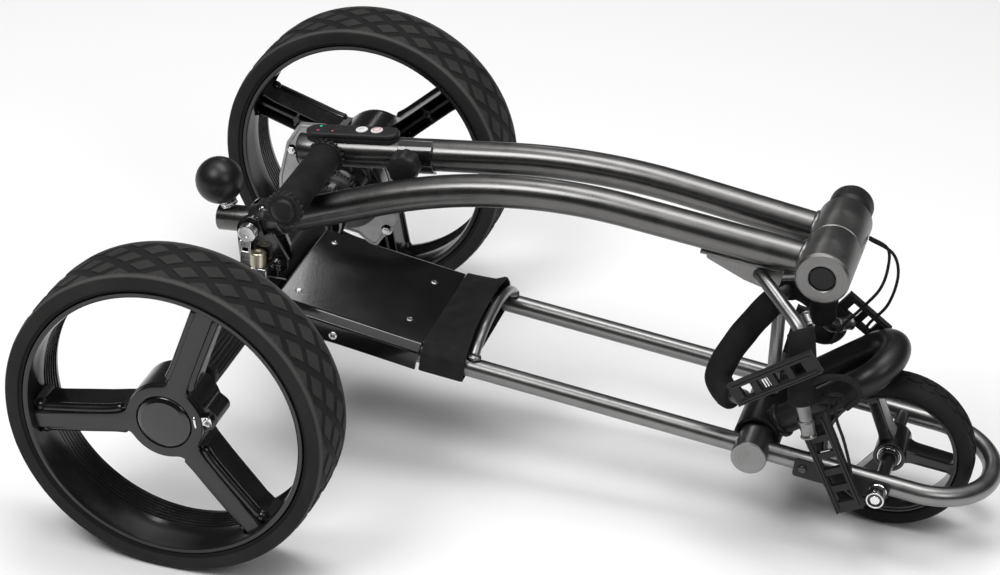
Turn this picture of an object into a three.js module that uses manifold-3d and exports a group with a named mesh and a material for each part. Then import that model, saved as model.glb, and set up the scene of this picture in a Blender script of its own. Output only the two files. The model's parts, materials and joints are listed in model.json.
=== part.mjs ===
// Electric golf trolley, folded flat for transport. Millimetres, +Z up.
// +X points to the small front wheel, +Y to the trolley's left. The origin is on the ground,
// under the middle of the trolley's bounding box. Every part is drawn from the rear axle's centre.
import * as THREE from "three";
import { mergeVertices } from "three/addons/utils/BufferGeometryUtils.js";
import Module from "manifold-3d";

const wasm = await Module();
wasm.setup();

// ---- driving dimensions ----
const GAP = 0.3; // left between neighbouring pieces
const REAR_RADIUS = 145;
const FRONT_RADIUS = 74;
const WHEEL_IN = 224; // the rear tyre's inner side, from the middle plane
const WHEEL_OUT = 291.5; // and its outer side, which is half the trolley's width
const RIM_RADIUS = 127.6;
const FRONT_RIM_RADIUS = 60.4;
const FRONT_HALF_WIDTH = 17.5;

const TUBE_RADIUS = 9; // lower frame tube
const TUBE_Y = 61.6; // its two runs stand this far from the middle plane
const FRAME_DROP = 7.9; // the runs start this far under the rear axle
const FRONT_AXLE_S = 584.4; // distances called S run along the lower tubes
const CROSS_S = 468.5;
const STOP_S = 207;
const NOSE_S = 675.1;
const HOUSING_RADIUS = 16;

const POST_RADIUS = 14.7; // the two curved upper tubes
const STUB_RADIUS = 12; // the post narrows behind its pivot
const POST_Y = -31;
const HANDLE_Y = 31;
const FOLD = new THREE.Vector3(-11, 0, 65); // pivot of the folding post
const BARREL = new THREE.Vector3(512, 0, 123.5); // hinge between the post and the handle
const BARREL_RADIUS = 24;
const BARREL_RIGHT = -68; // its right face, the seam between its halves, and its left face
const BARREL_SEAM = -13;
const BARREL_LEFT = 43;
const GRIP = new THREE.Vector3(38.8, 0, 117);
const GRIP_RADIUS = 14.8;
const COLLAR_RADIUS = 17.3; // the grip's two end collars
const HANDLE_START = new THREE.Vector3(9, 0, 111.5);
const HANDLE_SLOPE = 0.125;

const ROD_RADIUS = 6; // bag cradle rods
const FOAM_RADIUS = 12;
const FOAM_BORE = 7;
const ROD_SIDES = 8;
const FOAM_SIDES = 10;

const FRAME_TILT = Math.asin((REAR_RADIUS - FRONT_RADIUS - FRAME_DROP) / FRONT_AXLE_S);
const FRONT_AXLE = new THREE.Vector3(
  FRONT_AXLE_S * Math.cos(FRAME_TILT), 0, FRONT_RADIUS - REAR_RADIUS);
const NOSE_X = NOSE_S * Math.cos(FRAME_TILT) + TUBE_RADIUS;

// ---- the scene graph ----
const trolley = new THREE.Group();
const fromRearAxle = new THREE.Group();
fromRearAxle.position.set((REAR_RADIUS - NOSE_X) / 2, 0, REAR_RADIUS);
const lowerFrame = new THREE.Group(); // +X runs along the lower tubes' centrelines
lowerFrame.position.z = -FRAME_DROP;
lowerFrame.rotation.y = FRAME_TILT;
const handleTop = new THREE.Group(); // +X runs along the handle's straight rear end
handleTop.position.set(HANDLE_START.x, HANDLE_Y, HANDLE_START.z);
handleTop.rotation.y = -Math.atan(HANDLE_SLOPE);
trolley.add(fromRearAxle);
fromRearAxle.add(lowerFrame, handleTop);

const look = (color, roughness, metalness = 0) =>
  new THREE.MeshStandardMaterial({ color, roughness, metalness });
const LOOKS = {
  tyre: look(0x2b2b2c, 0.9),
  rim: look(0x121213, 0.35),
  gunmetal: look(0x55524f, 0.35, 0.9),
  stainless: look(0x9a9896, 0.3, 1),
  satin: look(0x7d7b79, 0.4, 0.9),
  chrome: look(0xd8d8da, 0.12, 1),
  brass: look(0xb09a6a, 0.3, 1),
  black: look(0x101011, 0.5),
  gloss: look(0x0b0b0c, 0.15),
  foam: look(0x1b1b1c, 0.95),
  webbing: look(0x151516, 0.9),
  casting: look(0xa5a7a9, 0.6, 0.6),
  white: look(0xdadada, 0.5),
  red: look(0xb8505a, 0.5),
};

// ---- solids ----
const v = (x, y, z) => new THREE.Vector3(x, y, z);

// A closed three.js geometry as a solid that can be joined and cut.
function solid(geometry, matrix = new THREE.Matrix4()) {
  const bare = new THREE.BufferGeometry();
  bare.setAttribute("position", geometry.getAttribute("position").clone());
  if (geometry.index) bare.setIndex(geometry.index.clone());
  const merged = mergeVertices(bare.applyMatrix4(matrix), 1e-3);
  const index = merged.index.array;
  const corners = [];
  for (let i = 0; i < index.length; i += 3) {
    const [a, b, c] = index.slice(i, i + 3);
    if (a !== b && b !== c && c !== a) corners.push(a, b, c);
  }
  const build = (triVerts) =>
    new wasm.Manifold(new wasm.Mesh({
      numProp: 3,
      vertProperties: new Float32Array(merged.attributes.position.array),
      triVerts: new Uint32Array(triVerts),
    }));
  const made = build(corners);
  return made.volume() < 0 ? build(corners.reverse()) : made;
}

const union = (...solids) => solids.reduce((whole, next) => whole.add(next));

function add(group, name, shape, material) {
  const { numProp, vertProperties, triVerts } = shape.getMesh();
  const positions = new Float32Array((vertProperties.length / numProp) * 3);
  for (let i = 0; i < positions.length / 3; i++)
    positions.set(vertProperties.subarray(i * numProp, i * numProp + 3), i * 3);
  const geometry = new THREE.BufferGeometry();
  geometry.setAttribute("position", new THREE.BufferAttribute(positions, 3));
  geometry.setIndex(new THREE.BufferAttribute(triVerts, 1));
  const mesh = new THREE.Mesh(geometry, material);
  mesh.name = name;
  group.add(mesh);
}

function block(low, high) {
  const size = high.clone().sub(low);
  const middle = low.clone().add(high).multiplyScalar(0.5);
  const place = new THREE.Matrix4().makeTranslation(middle.x, middle.y, middle.z);
  return solid(new THREE.BoxGeometry(size.x, size.y, size.z), place);
}

// The convex solid around some points.
const hull = (points) => wasm.Manifold.hull(points.map(({ x, y, z }) => [x, y, z]));

// A round bar between two points.
function bar(from, to, radius, sides = 16) {
  const along = to.clone().sub(from);
  const turn = new THREE.Quaternion().setFromUnitVectors(v(0, 1, 0), along.clone().normalize());
  const middle = from.clone().add(to).multiplyScalar(0.5);
  const place = new THREE.Matrix4().compose(middle, turn, v(1, 1, 1));
  return solid(new THREE.CylinderGeometry(radius, radius, along.length(), sides), place);
}

// A body of revolution about the Y axis through a centre, from [radius, y] pairs. Its facets,
// not its corners, touch the stated radius, so a wheel rests on a flat.
function turned(centre, profile, sides = 16) {
  const grow = 1 / Math.cos(Math.PI / sides);
  const points = profile.map(([r, y]) => new THREE.Vector2(r * grow, y));
  const lathe = new THREE.LatheGeometry(points, sides, Math.PI / sides);
  return solid(lathe, new THREE.Matrix4().makeTranslation(centre.x, centre.y, centre.z));
}

const disc = (centre, radius, y0, y1, sides) =>
  turned(centre, [[0, y0], [radius, y0], [radius, y1], [0, y1]], sides);
const ring = (centre, inner, outer, y0, y1, sides) =>
  turned(centre, [[inner, y0], [outer, y0], [outer, y1], [inner, y1], [inner, y0]], sides);

// A flat plate whose outline is drawn in x and z, between two y values.
function plate(outline, y0, y1) {
  const flat = new THREE.ExtrudeGeometry(outline, {
    depth: y1 - y0, bevelEnabled: false, curveSegments: 8 });
  const place = new THREE.Matrix4().makeRotationX(Math.PI / 2).setPosition(0, y1, 0);
  return solid(flat, place);
}

const polygon = (...corners) =>
  new THREE.Shape(corners.map(([x, z]) => new THREE.Vector2(x, z)));

// A path through given stations, so that straight stretches need only their two ends.
class Run extends THREE.Curve {
  constructor(stations) {
    super();
    this.stations = stations;
  }
  getPoint(t, target = new THREE.Vector3()) {
    const place = t * (this.stations.length - 1);
    const i = Math.min(Math.floor(place), this.stations.length - 2);
    return target.lerpVectors(this.stations[i], this.stations[i + 1], place - i);
  }
  getPointAt(t, target) {
    return this.getPoint(t, target);
  }
  getTangentAt(t, target = new THREE.Vector3()) {
    const last = this.stations.length - 1;
    const i = Math.round(t * last);
    const here = this.stations[i];
    const before = this.stations[Math.max(i - 1, 0)].clone().sub(here).normalize();
    const after = this.stations[Math.min(i + 1, last)].clone().sub(here).normalize();
    return target.copy(after).sub(before).normalize();
  }
}

// A tube or a sleeve swept along stations.
function sweep(stations, radius, bore = 0, sides = 14) {
  const section = new THREE.Shape().absarc(0, 0, radius, 0, 2 * Math.PI);
  if (bore) section.holes.push(new THREE.Path().absarc(0, 0, bore, 0, 2 * Math.PI, true));
  const path = new Run(stations);
  return solid(new THREE.ExtrudeGeometry(section, {
    steps: stations.length - 1, extrudePath: path, bevelEnabled: false,
    curveSegments: sides / 2 }));
}

// The corners of a polyline turned into arcs of the given radii.
function rounded(points, radii, pieces = 6) {
  const stations = [points[0]];
  for (let i = 1; i < points.length - 1; i++) {
    const back = points[i - 1].clone().sub(points[i]).normalize();
    const on = points[i + 1].clone().sub(points[i]).normalize();
    const half = back.angleTo(on) / 2;
    const radius = radii[i - 1];
    const inwards = back.clone().add(on).normalize();
    const centre = points[i].clone().addScaledVector(inwards, radius / Math.sin(half));
    const reach = radius / Math.tan(half);
    const start = points[i].clone().addScaledVector(back, reach).sub(centre);
    const end = points[i].clone().addScaledVector(on, reach).sub(centre);
    const axis = start.clone().cross(end).normalize();
    for (let k = 0; k <= pieces; k++) {
      const arm = start.clone().applyAxisAngle(axis, ((Math.PI - 2 * half) * k) / pieces);
      const next = centre.clone().add(arm);
      if (next.distanceTo(stations.at(-1)) > 0.5) stations.push(next);
    }
  }
  if (points.at(-1).distanceTo(stations.at(-1)) > 0.5) stations.push(points.at(-1));
  return stations;
}

const smooth = (points, pieces = 3) =>
  new THREE.CatmullRomCurve3(points).getPoints((points.length - 1) * pieces);

// One path out of two that start at the same point.
const joined = (one, other) => [...one.slice().reverse(), ...other.slice(1)];

// ---- rear wheels and drive ----
const ORIGIN = v(0, 0, 0);
const HOUSING_END = 90; // the axle housing's left end, where the motor starts
const MOTOR_RADIUS = 25;
const MOTOR_FLANGE = [165, 43]; // start from the middle plane, and radius
const GEARBOX_IN = 195;
const GEARBOX_OUT = 204.7;
const SHAFT_RADIUS = 8;
const SHAFT_END = 262;
const HUB_RADIUS = 36;
const CAP_RADIUS = 24.5;
const CAP_SEAT = 277;
const RIGHT_SPOKES = [71, 191, 311];
const LEFT_SPOKES = [42, 162, 282];
const BUTTON_REACH = 40; // the release button's distance from the wheel's axis

function spoke(angle, from, to, width, y0, y1) {
  const turn = new THREE.Matrix4().makeRotationY(-THREE.MathUtils.degToRad(angle));
  const place = new THREE.Matrix4().makeTranslation((from + to) / 2, (y0 + y1) / 2, 0);
  return solid(new THREE.BoxGeometry(to - from, y1 - y0, width), turn.multiply(place));
}

function rearWheel(name, side, spokes) {
  const out = (...profile) => profile.map(([r, y]) => [r, side * y]);
  const sides = 40;
  const tyre = turned(ORIGIN, out(
    [128, 225.5], [128, 290], [139, WHEEL_OUT], [143.5, 288], [REAR_RADIUS, 272],
    [REAR_RADIUS, 244], [143.5, 227.5], [139, WHEEL_IN], [128, 225.5]), sides);
  add(fromRearAxle, name + "_tyre", tyre, LOOKS.tyre);

  const seat = spokes[1] + 180; // the release button's boss stands opposite the middle spoke
  const y = (value) => side * value;
  const span = (a, b) => [Math.min(y(a), y(b)), Math.max(y(a), y(b))];
  const wheelArms = spokes.map((angle) => spoke(angle, 20, 123, 25, ...span(246, 280)));
  const rim = union(
    ring(ORIGIN, 120.5, RIM_RADIUS, ...span(227, 289), sides),
    disc(ORIGIN, HUB_RADIUS, ...span(238, 283), 24),
    spoke(seat, 28, 48, 18, ...span(250, 278)),
    ...wheelArms)
    .subtract(disc(ORIGIN, SHAFT_RADIUS + 0.4, ...span(230, SHAFT_END + 1)))
    .subtract(disc(ORIGIN, CAP_RADIUS + 0.6, ...span(CAP_SEAT, 290), 24))
    .subtract(spoke(seat, BUTTON_REACH - 4.4, BUTTON_REACH + 4.4, 8.8, ...span(270, 290)));
  add(fromRearAxle, name + "_rim", rim, LOOKS.rim);

  const cap = turned(ORIGIN, out(
    [0, CAP_SEAT + GAP], [CAP_RADIUS, CAP_SEAT + GAP], [CAP_RADIUS, 283], [20, 285], [0, 286]), 24);
  add(fromRearAxle, name + "_hub_cap", cap, LOOKS.gloss);

  const shaft = disc(ORIGIN, SHAFT_RADIUS, ...span(GEARBOX_OUT + GAP, SHAFT_END));
  add(fromRearAxle, name + "_drive_shaft", shaft, LOOKS.chrome);

  const button = spoke(seat, BUTTON_REACH - 4, BUTTON_REACH + 4, 8, ...span(273.5, 282));
  add(fromRearAxle, name + "_release_button", button, LOOKS.chrome);
}

// One motor on the left turns both wheels; the right shaft runs through the axle housing.
function drive() {
  const housing = disc(ORIGIN, HOUSING_RADIUS, -GEARBOX_OUT, HOUSING_END, 20);
  add(fromRearAxle, "axle_housing", housing, LOOKS.black);

  const motor = union(
    disc(ORIGIN, MOTOR_RADIUS, HOUSING_END + GAP, MOTOR_FLANGE[0] + 1, 20),
    disc(ORIGIN, MOTOR_FLANGE[1], MOTOR_FLANGE[0], GEARBOX_IN - GAP, 24));
  add(fromRearAxle, "left_motor", motor, LOOKS.black);

  const casting = polygon([-55, 49], [-30, 51], [10, 46], [34, 28], [42, 0], [36, -24],
    [48, -38], [44, -52], [34, -62], [26, -75], [8, -62], [-20, -58], [-52, -48], [-76, -28],
    [-76, -12], [-68, 27]);
  add(fromRearAxle, "left_gearbox_plate", plate(casting, GEARBOX_IN, GEARBOX_OUT), LOOKS.casting);
}

// ---- lower frame ----
function lowerTubes() {
  const start = HOUSING_RADIUS + 1.8;
  const axle = bar(v(FRONT_AXLE_S, -90, 0), v(FRONT_AXLE_S, 90, 0), 6.6);
  const run = rounded(
    [v(start, -TUBE_Y, 0), v(NOSE_S, -TUBE_Y, 0), v(NOSE_S, TUBE_Y, 0), v(start, TUBE_Y, 0)],
    [TUBE_Y, TUBE_Y]);
  add(lowerFrame, "lower_frame_tube", sweep(run, TUBE_RADIUS).subtract(axle), LOOKS.stainless);

  let cross = disc(v(CROSS_S, 0, 0), 16, -82, 82);
  for (const y of [-TUBE_Y, TUBE_Y])
    cross = cross.subtract(bar(v(CROSS_S - 30, y, 0), v(CROSS_S + 30, y, 0), TUBE_RADIUS + 0.5));
  add(lowerFrame, "cross_tube", cross, LOOKS.stainless);

  // The battery stop is an arch that stands across the two runs.
  const stop = sweep(smooth([
    v(STOP_S, -TUBE_Y, 12.8), v(STOP_S, -52, 21), v(STOP_S, -34, 30), v(STOP_S, -4, 34),
    v(STOP_S, 20, 31), v(STOP_S, 45, 23), v(STOP_S, TUBE_Y, 12.8)]), 4.5, 0, 12);
  add(lowerFrame, "stop_bar", stop, LOOKS.stainless);

  for (const [name, side] of [["right", -1], ["left", 1]]) {
    const edges = [side * 71, side * 73.7].sort((a, b) => a - b);
    const bracket = plate(polygon([508, -10], [590, -10], [594, -6], [594, 8], [508, 8]), ...edges)
      .subtract(bar(v(FRONT_AXLE_S, -90, 0), v(FRONT_AXLE_S, 90, 0), 6.6));
    add(lowerFrame, name + "_axle_bracket", bracket, LOOKS.black);
  }
}

// The battery tray is a folded sheet that stands on the tubes and laps their outer sides.
function batteryTray() {
  const [start, end] = [18, 158];
  const [half, shoulder, top, foot, sheet] = [75.5, 66, 15.5, -9, 2.5];
  const section = new THREE.Shape([
    [-half, foot], [-half + sheet, foot], [-half + sheet, top - 7.5], [-shoulder + 1, top - sheet],
    [shoulder - 1, top - sheet], [half - sheet, top - 7.5], [half - sheet, foot], [half, foot],
    [half, top - 6], [shoulder, top], [-shoulder, top], [-half, top - 6],
  ].map(([y, z]) => new THREE.Vector2(y, z)));
  const sheetMetal = new THREE.ExtrudeGeometry(section, { depth: end - start, bevelEnabled: false });
  // The section's x and y become the trolley's y and z, and its depth becomes x.
  const place = new THREE.Matrix4().makeBasis(v(0, 1, 0), v(0, 0, 1), v(1, 0, 0));
  const tray = new THREE.Group();
  tray.position.set(start, 0, 5.5);
  tray.rotation.y = 0.05;
  lowerFrame.add(tray);
  add(tray, "battery_tray", solid(sheetMetal, place), LOOKS.gloss);

  add(lowerFrame, "control_box", block(v(24, -50, -24), v(150, 50, 10)), LOOKS.black);

  // The strap lies flat behind the tray and rises to lean against the stop's arch.
  const [back, front, thick] = [160, 202, 2.6];
  const band = (x, inset, crown) => [
    v(x, -74 + inset, -12.6 + inset), v(x, 74 - inset, -12.6 + inset),
    ...crown.flatMap(([y, z]) => [v(x, y - inset, z - inset), v(x, inset - y, z - inset)])];
  const low = [[74, 8], [66, 18]];
  const high = [[74, 8], [66, 20], [50, 34], [25, 39], [0, 40]];
  const strap = hull([...band(back, 0, low), ...band(front, 0, high)])
    .subtract(hull([...band(back - 1, thick, low), ...band(front + 1, thick, high)]));
  add(lowerFrame, "battery_strap", strap, LOOKS.webbing);
}

// The black bow that the golf bag's foot stands on.
function bottomRest() {
  const rise = THREE.MathUtils.degToRad(38) + FRAME_TILT;
  const legY = 33;
  const reach = 136.5;
  const along = (distance, y) =>
    v(CROSS_S + distance * Math.cos(rise), y, distance * Math.sin(rise));
  const bow = sweep(rounded(
    [along(17, -legY), along(reach, -legY), along(reach, legY), along(17, legY)],
    [legY, legY]), 13.5);
  const sleeve = ring(v(CROSS_S, 0, 0), 16.6, 21, -47, 47);
  add(lowerFrame, "bottom_rest", union(sleeve, bow), LOOKS.gloss);
}

// ---- front wheel ----
function frontWheel() {
  const tyre = turned(FRONT_AXLE, [
    [61, -15], [61, 15], [68, FRONT_HALF_WIDTH], [72, 14], [FRONT_RADIUS, 5], [FRONT_RADIUS, -5],
    [72, -14], [68, -FRONT_HALF_WIDTH], [61, -15]], 32);
  add(fromRearAxle, "front_tyre", tyre, LOOKS.tyre);

  const arms = [113, 233, 353].map((angle) =>
    spoke(angle, 12, 57, 11, -9, 9).translate([FRONT_AXLE.x, 0, FRONT_AXLE.z]));
  const rim = union(
    ring(FRONT_AXLE, 55, FRONT_RIM_RADIUS, -14.5, 14.5, 32),
    disc(FRONT_AXLE, 14.5, -19, 19),
    ...arms)
    .subtract(disc(FRONT_AXLE, 7.2, -30, 30))
    .subtract(disc(FRONT_AXLE, 11.5, 11, 30))
    .subtract(disc(FRONT_AXLE, 11.5, -30, -11));
  add(fromRearAxle, "front_rim", rim, LOOKS.rim);
  add(fromRearAxle, "front_bearing_right", ring(FRONT_AXLE, 6.6, 11, -18, -11.4), LOOKS.chrome);
  add(fromRearAxle, "front_bearing_left", ring(FRONT_AXLE, 6.6, 11, 11.4, 18), LOOKS.chrome);

  add(fromRearAxle, "front_axle", disc(FRONT_AXLE, 6, -90, 74.5), LOOKS.black);
  add(fromRearAxle, "front_axle_nut", ring(FRONT_AXLE, 6.6, 8, -92, -74.2), LOOKS.chrome);
}

// ---- folding hinge at the rear ----
function foldingHinge() {
  const [reach, head] = [13, 8.3];
  const cheek = new THREE.Shape();
  cheek.moveTo(-20, 19);
  cheek.lineTo(FOLD.x - reach, FOLD.z);
  cheek.absarc(FOLD.x, FOLD.z, reach, Math.PI, 0.9, true);
  cheek.lineTo(16, 30);
  cheek.lineTo(16, 19);
  const pinHole = bar(v(FOLD.x, -80, FOLD.z), v(FOLD.x, 80, FOLD.z), 5.6);
  const right = plate(cheek, POST_Y - 20.7, POST_Y - 15.3).subtract(pinHole);
  const left = plate(cheek, POST_Y + 15.3, POST_Y + 20.7).subtract(pinHole);
  add(fromRearAxle, "hinge_plate_right", right, LOOKS.black);
  add(fromRearAxle, "hinge_plate_left", left, LOOKS.black);

  const pin = union(
    disc(v(FOLD.x, 0, FOLD.z), 5, POST_Y - 22, POST_Y + 22),
    disc(v(FOLD.x, 0, FOLD.z), head, POST_Y - 30, POST_Y - 21));
  add(fromRearAxle, "hinge_pin", pin, LOOKS.chrome);

  // A bar hangs under the pin's head, and a shelf beside it carries the upright thumb nut.
  const face = POST_Y - 21;
  const shelfTop = 34.5;
  const latch = union(
    block(v(-19, face - 5.4, 25), v(-8, face, 56)),
    block(v(-9, face - 14, 21), v(10, face, shelfTop)));
  add(fromRearAxle, "latch_block", latch, LOOKS.chrome);
  const nut = bar(v(0, POST_Y - 29, shelfTop + GAP), v(0, POST_Y - 29, 49), 7.3, 20);
  add(fromRearAxle, "latch_nut", nut, LOOKS.brass);
}

// ---- folding post, with the upper half of the bag support ----
const UPPER_ROD_RIGHT = smooth([
  v(452, POST_Y, 98), v(458, -42, 100), v(479, -62, 91), v(500, -82, 79), v(504.5, -88, 62),
  v(507, -91, 39), v(510, -93.5, 15), v(515, -95, 0), v(519, -97, -15.5)]);
const UPPER_ROD_LEFT = smooth([
  v(452, POST_Y, 98), v(470, -16, 93), v(488, 2, 87), v(502, 17, 79), v(504, 22, 62),
  v(504, 22, 40), v(511, 29, 25), v(526, 45, 22)]);

function post() {
  const stub = bar(v(-48, POST_Y, 61.8), v(0, POST_Y, 66), STUB_RADIUS, 14);
  const line = rounded(
    [v(-6, POST_Y, 64.2), v(217.5, POST_Y, 150.2), v(BARREL.x, POST_Y, 117.5)], [640], 10);
  const pinHole = bar(v(FOLD.x, -80, FOLD.z), v(FOLD.x, 80, FOLD.z), 5.6);
  const tube = union(sweep(line, POST_RADIUS), stub).subtract(pinHole)
    .subtract(disc(BARREL, BARREL_RADIUS + GAP, BARREL_RIGHT, 0, 24));
  add(fromRearAxle, "post_tube", tube, LOOKS.gunmetal);

  const knuckle = disc(BARREL, BARREL_RADIUS, BARREL_RIGHT, BARREL_SEAM, 24)
    .subtract(disc(BARREL, 6.6, -80, 10))
    .subtract(disc(BARREL, 11.6, -80, -61));
  add(fromRearAxle, "post_knuckle", knuckle, LOOKS.satin);
  add(fromRearAxle, "knuckle_plug", disc(BARREL, 11, -67, -61.3), LOOKS.black);
  add(fromRearAxle, "barrel_pin", disc(BARREL, 6, -60.7, BARREL_LEFT - GAP), LOOKS.chrome);

  const rod = joined(UPPER_ROD_RIGHT, UPPER_ROD_LEFT);
  add(fromRearAxle, "upper_cradle_rod", sweep(rod, ROD_RADIUS, 0, ROD_SIDES), LOOKS.chrome);
  const right = sweep(UPPER_ROD_RIGHT.slice(9, 19), FOAM_RADIUS, FOAM_BORE, FOAM_SIDES);
  const left = sweep(UPPER_ROD_LEFT.slice(10, 17), FOAM_RADIUS, FOAM_BORE, FOAM_SIDES);
  add(fromRearAxle, "upper_foam_right", right, LOOKS.foam);
  add(fromRearAxle, "upper_foam_left", left, LOOKS.foam);

  const gusset = polygon([391, 115], [474, 106], [470, 88], [455, 84], [440, 90]);
  const bracket = plate(gusset, POST_Y - 3, POST_Y + 3)
    .subtract(sweep(rod.slice(19, 30), ROD_RADIUS + 1.4, 0, ROD_SIDES));
  add(fromRearAxle, "upper_cradle_bracket", bracket, LOOKS.satin);

  // The ball leans back on a short neck that stands on the narrow rear end.
  const foot = v(-39, POST_Y, 77.3);
  const ball = v(-48, POST_Y, 99);
  const place = new THREE.Matrix4().makeTranslation(ball.x, ball.y, ball.z);
  const sphere = solid(new THREE.SphereGeometry(22, 18, 12), place);
  const knob = union(sphere, bar(foot, ball, 5, 12));
  add(fromRearAxle, "post_lock_knob", knob, LOOKS.black);
}

// ---- handle ----
function handle() {
  const corner = (x) => HANDLE_START.z + HANDLE_SLOPE * (x - HANDLE_START.x);
  const line = rounded(
    [v(HANDLE_START.x, HANDLE_Y, HANDLE_START.z), v(288.5, HANDLE_Y, corner(288.5)),
      v(BARREL.x, HANDLE_Y, 114)],
    [600]);
  const mouth = bar(line[0].clone().add(v(-10, 0, -1.25)), line[0].clone().add(v(20, 0, 2.5)), 12);
  const tube = sweep(line, POST_RADIUS).subtract(mouth)
    .subtract(disc(BARREL, BARREL_RADIUS + GAP, 0, 70, 24));
  add(fromRearAxle, "handle_tube", tube, LOOKS.gunmetal);

  const knuckle = disc(BARREL, BARREL_RADIUS, BARREL_SEAM + GAP, BARREL_LEFT, 24)
    .subtract(disc(BARREL, 6.6, -20, 80));
  add(fromRearAxle, "handle_knuckle", knuckle, LOOKS.satin);

  const grip = turned(GRIP, [
    [0, -102], [11.4, -101.5], [11.4, -97], [COLLAR_RADIUS, -97], [COLLAR_RADIUS, -92],
    [GRIP_RADIUS, -92], [GRIP_RADIUS, 9], [COLLAR_RADIUS, 10], [COLLAR_RADIUS, 15.8],
    [0, 15.8]], 20);
  add(fromRearAxle, "grip_foam", grip, LOOKS.foam);

  const knob = turned(BARREL, [
    [0, 43.4], [15, 43.4], [16, 50], [20, 58], [20, 74], [16, 82], [0, 86]], 24);
  add(fromRearAxle, "hinge_knob", knob, LOOKS.black);
}

const SADDLE = 12.2; // height of the controller's underside over the tube's centre
const CONTROLLER_HEIGHT = 9.5;
const TUBE_SEAT = POST_RADIUS + 0.4; // radius of the hollows that sit on the tube
const BUTTON_RADIUS = 5;

// The controller lies along the top of the handle, and the clamp knob stands out of its side.
function handleFittings() {
  const [start, end, half] = [7, 97, 10.5];
  const outline = new THREE.Shape();
  outline.absarc(start + half, 0, half, Math.PI / 2, 1.5 * Math.PI);
  outline.absarc(end - half, 0, half, 1.5 * Math.PI, 2.5 * Math.PI);
  const slab = new THREE.ExtrudeGeometry(outline, {
    depth: CONTROLLER_HEIGHT, bevelEnabled: false, curveSegments: 6 });
  const pocketFloor = SADDLE + CONTROLLER_HEIGHT - 3.2;
  const top = SADDLE + CONTROLLER_HEIGHT;
  const buttons = [["power_button", 61, LOOKS.white], ["speed_button", 75.5, LOOKS.red]];
  let housing = solid(slab, new THREE.Matrix4().makeTranslation(0, 0, SADDLE))
    .subtract(bar(v(0, 0, 0), v(150, 0, 0), TUBE_SEAT, 24));
  for (const [name, x, material] of buttons) {
    housing = housing.subtract(bar(v(x, 0, pocketFloor), v(x, 0, top + 5), BUTTON_RADIUS + 0.5));
    const button = bar(v(x, 0, pocketFloor + 1.3), v(x, 0, top + 0.8), BUTTON_RADIUS);
    add(handleTop, name, button, material);
  }
  add(handleTop, "controller_housing", housing, LOOKS.black);

  const saddle = bar(v(98, 0, 0), v(131, 0, 0), 17.6, 24)
    .subtract(bar(v(90, 0, 0), v(140, 0, 0), TUBE_SEAT, 24))
    .subtract(block(v(90, -6, -20), v(140, 20, 20)));
  add(handleTop, "accessory_clamp", saddle, LOOKS.black);

  const lobes = new THREE.Shape();
  const count = 48;
  for (let i = 0; i < count; i++) {
    const angle = (2 * Math.PI * i) / count;
    const radius = 14.2 + 0.8 * Math.cos(8 * angle);
    const [x, z] = [110 + radius * Math.cos(angle), 2 + radius * Math.sin(angle)];
    if (i === 0) lobes.moveTo(x, z);
    else lobes.lineTo(x, z);
  }
  add(handleTop, "accessory_knob", plate(lobes, -40, -18.2), LOOKS.black);
}

// ---- lower bag cradle ----
const STEM_X = 468;
const YOKE_TOP = 62;
const LOWER_ROD_RIGHT = smooth([
  v(STEM_X, 0, YOKE_TOP), v(462, -20, 63), v(447, -35, 44), v(434, -48, 22), v(429, -58, 4),
  v(440, -68, -5), v(456, -82, 3), v(457, -101, 15)]);
const LOWER_ROD_LEFT = smooth([
  v(STEM_X, 0, YOKE_TOP), v(474, 20, 62), v(484, 44, 47), v(501, 57, 25), v(509, 63, 4),
  v(500, 70, -7), v(484, 80, -6), v(479, 87, -3)]);

function lowerCradle() {
  const stem = bar(v(STEM_X, 0, -36.8), v(STEM_X, 0, YOKE_TOP), 6, 12);
  const rods = union(stem, sweep(joined(LOWER_ROD_RIGHT, LOWER_ROD_LEFT), ROD_RADIUS, 0, ROD_SIDES));
  add(fromRearAxle, "lower_cradle_rod", rods, LOOKS.chrome);
  const right = sweep(LOWER_ROD_RIGHT.slice(2, 17), FOAM_RADIUS, FOAM_BORE, FOAM_SIDES);
  const left = sweep(LOWER_ROD_LEFT.slice(2, 17), FOAM_RADIUS, FOAM_BORE, FOAM_SIDES);
  add(fromRearAxle, "lower_foam_right", right, LOOKS.foam);
  add(fromRearAxle, "lower_foam_left", left, LOOKS.foam);
}

// ---- bag straps: moulded ladders that hang on the cradle rods' ends ----
function ladder(name, start, end, width, y0, y1) {
  const along = end.clone().sub(start);
  const length = along.length();
  const half = width / 2;
  const outline = polygon([-6, -half + 3], [-3, -half], [length, -half], [length + 4, -half + 5],
    [length + 4, half - 5], [length, half], [-3, half], [-6, half - 3]);
  let shape = plate(outline, y0, y1);
  for (let x = 10; x + 10 < length; x += 18)
    shape = shape.subtract(block(v(x, y0 - 1, -3.5), v(x + 10, y1 + 1, 3.5)));
  const group = new THREE.Group();
  group.position.set(start.x, 0, start.z);
  group.rotation.y = -Math.atan2(along.z, along.x);
  fromRearAxle.add(group);
  add(group, name, shape, LOOKS.black);
}

function straps() {
  ladder("lower_strap_right", v(457, 0, 23), v(518, 0, 66), 20, -111, -105);
  ladder("lower_strap_left", v(479, 0, -6), v(466, 0, -76), 20, 91.6, 97.6);
  ladder("upper_strap_right", v(519, 0, -6), v(559, 0, -86), 24, -88, -82);
  ladder("upper_strap_left", v(520, 0, 36), v(553, 0, 12), 20, 49.8, 55.8);
}

rearWheel("right", -1, RIGHT_SPOKES);
rearWheel("left", 1, LEFT_SPOKES);
drive();
lowerTubes();
batteryTray();
bottomRest();
frontWheel();
foldingHinge();
post();
handle();
handleFittings();
lowerCradle();
straps();

export default trolley;
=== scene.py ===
import json
import math

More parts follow.
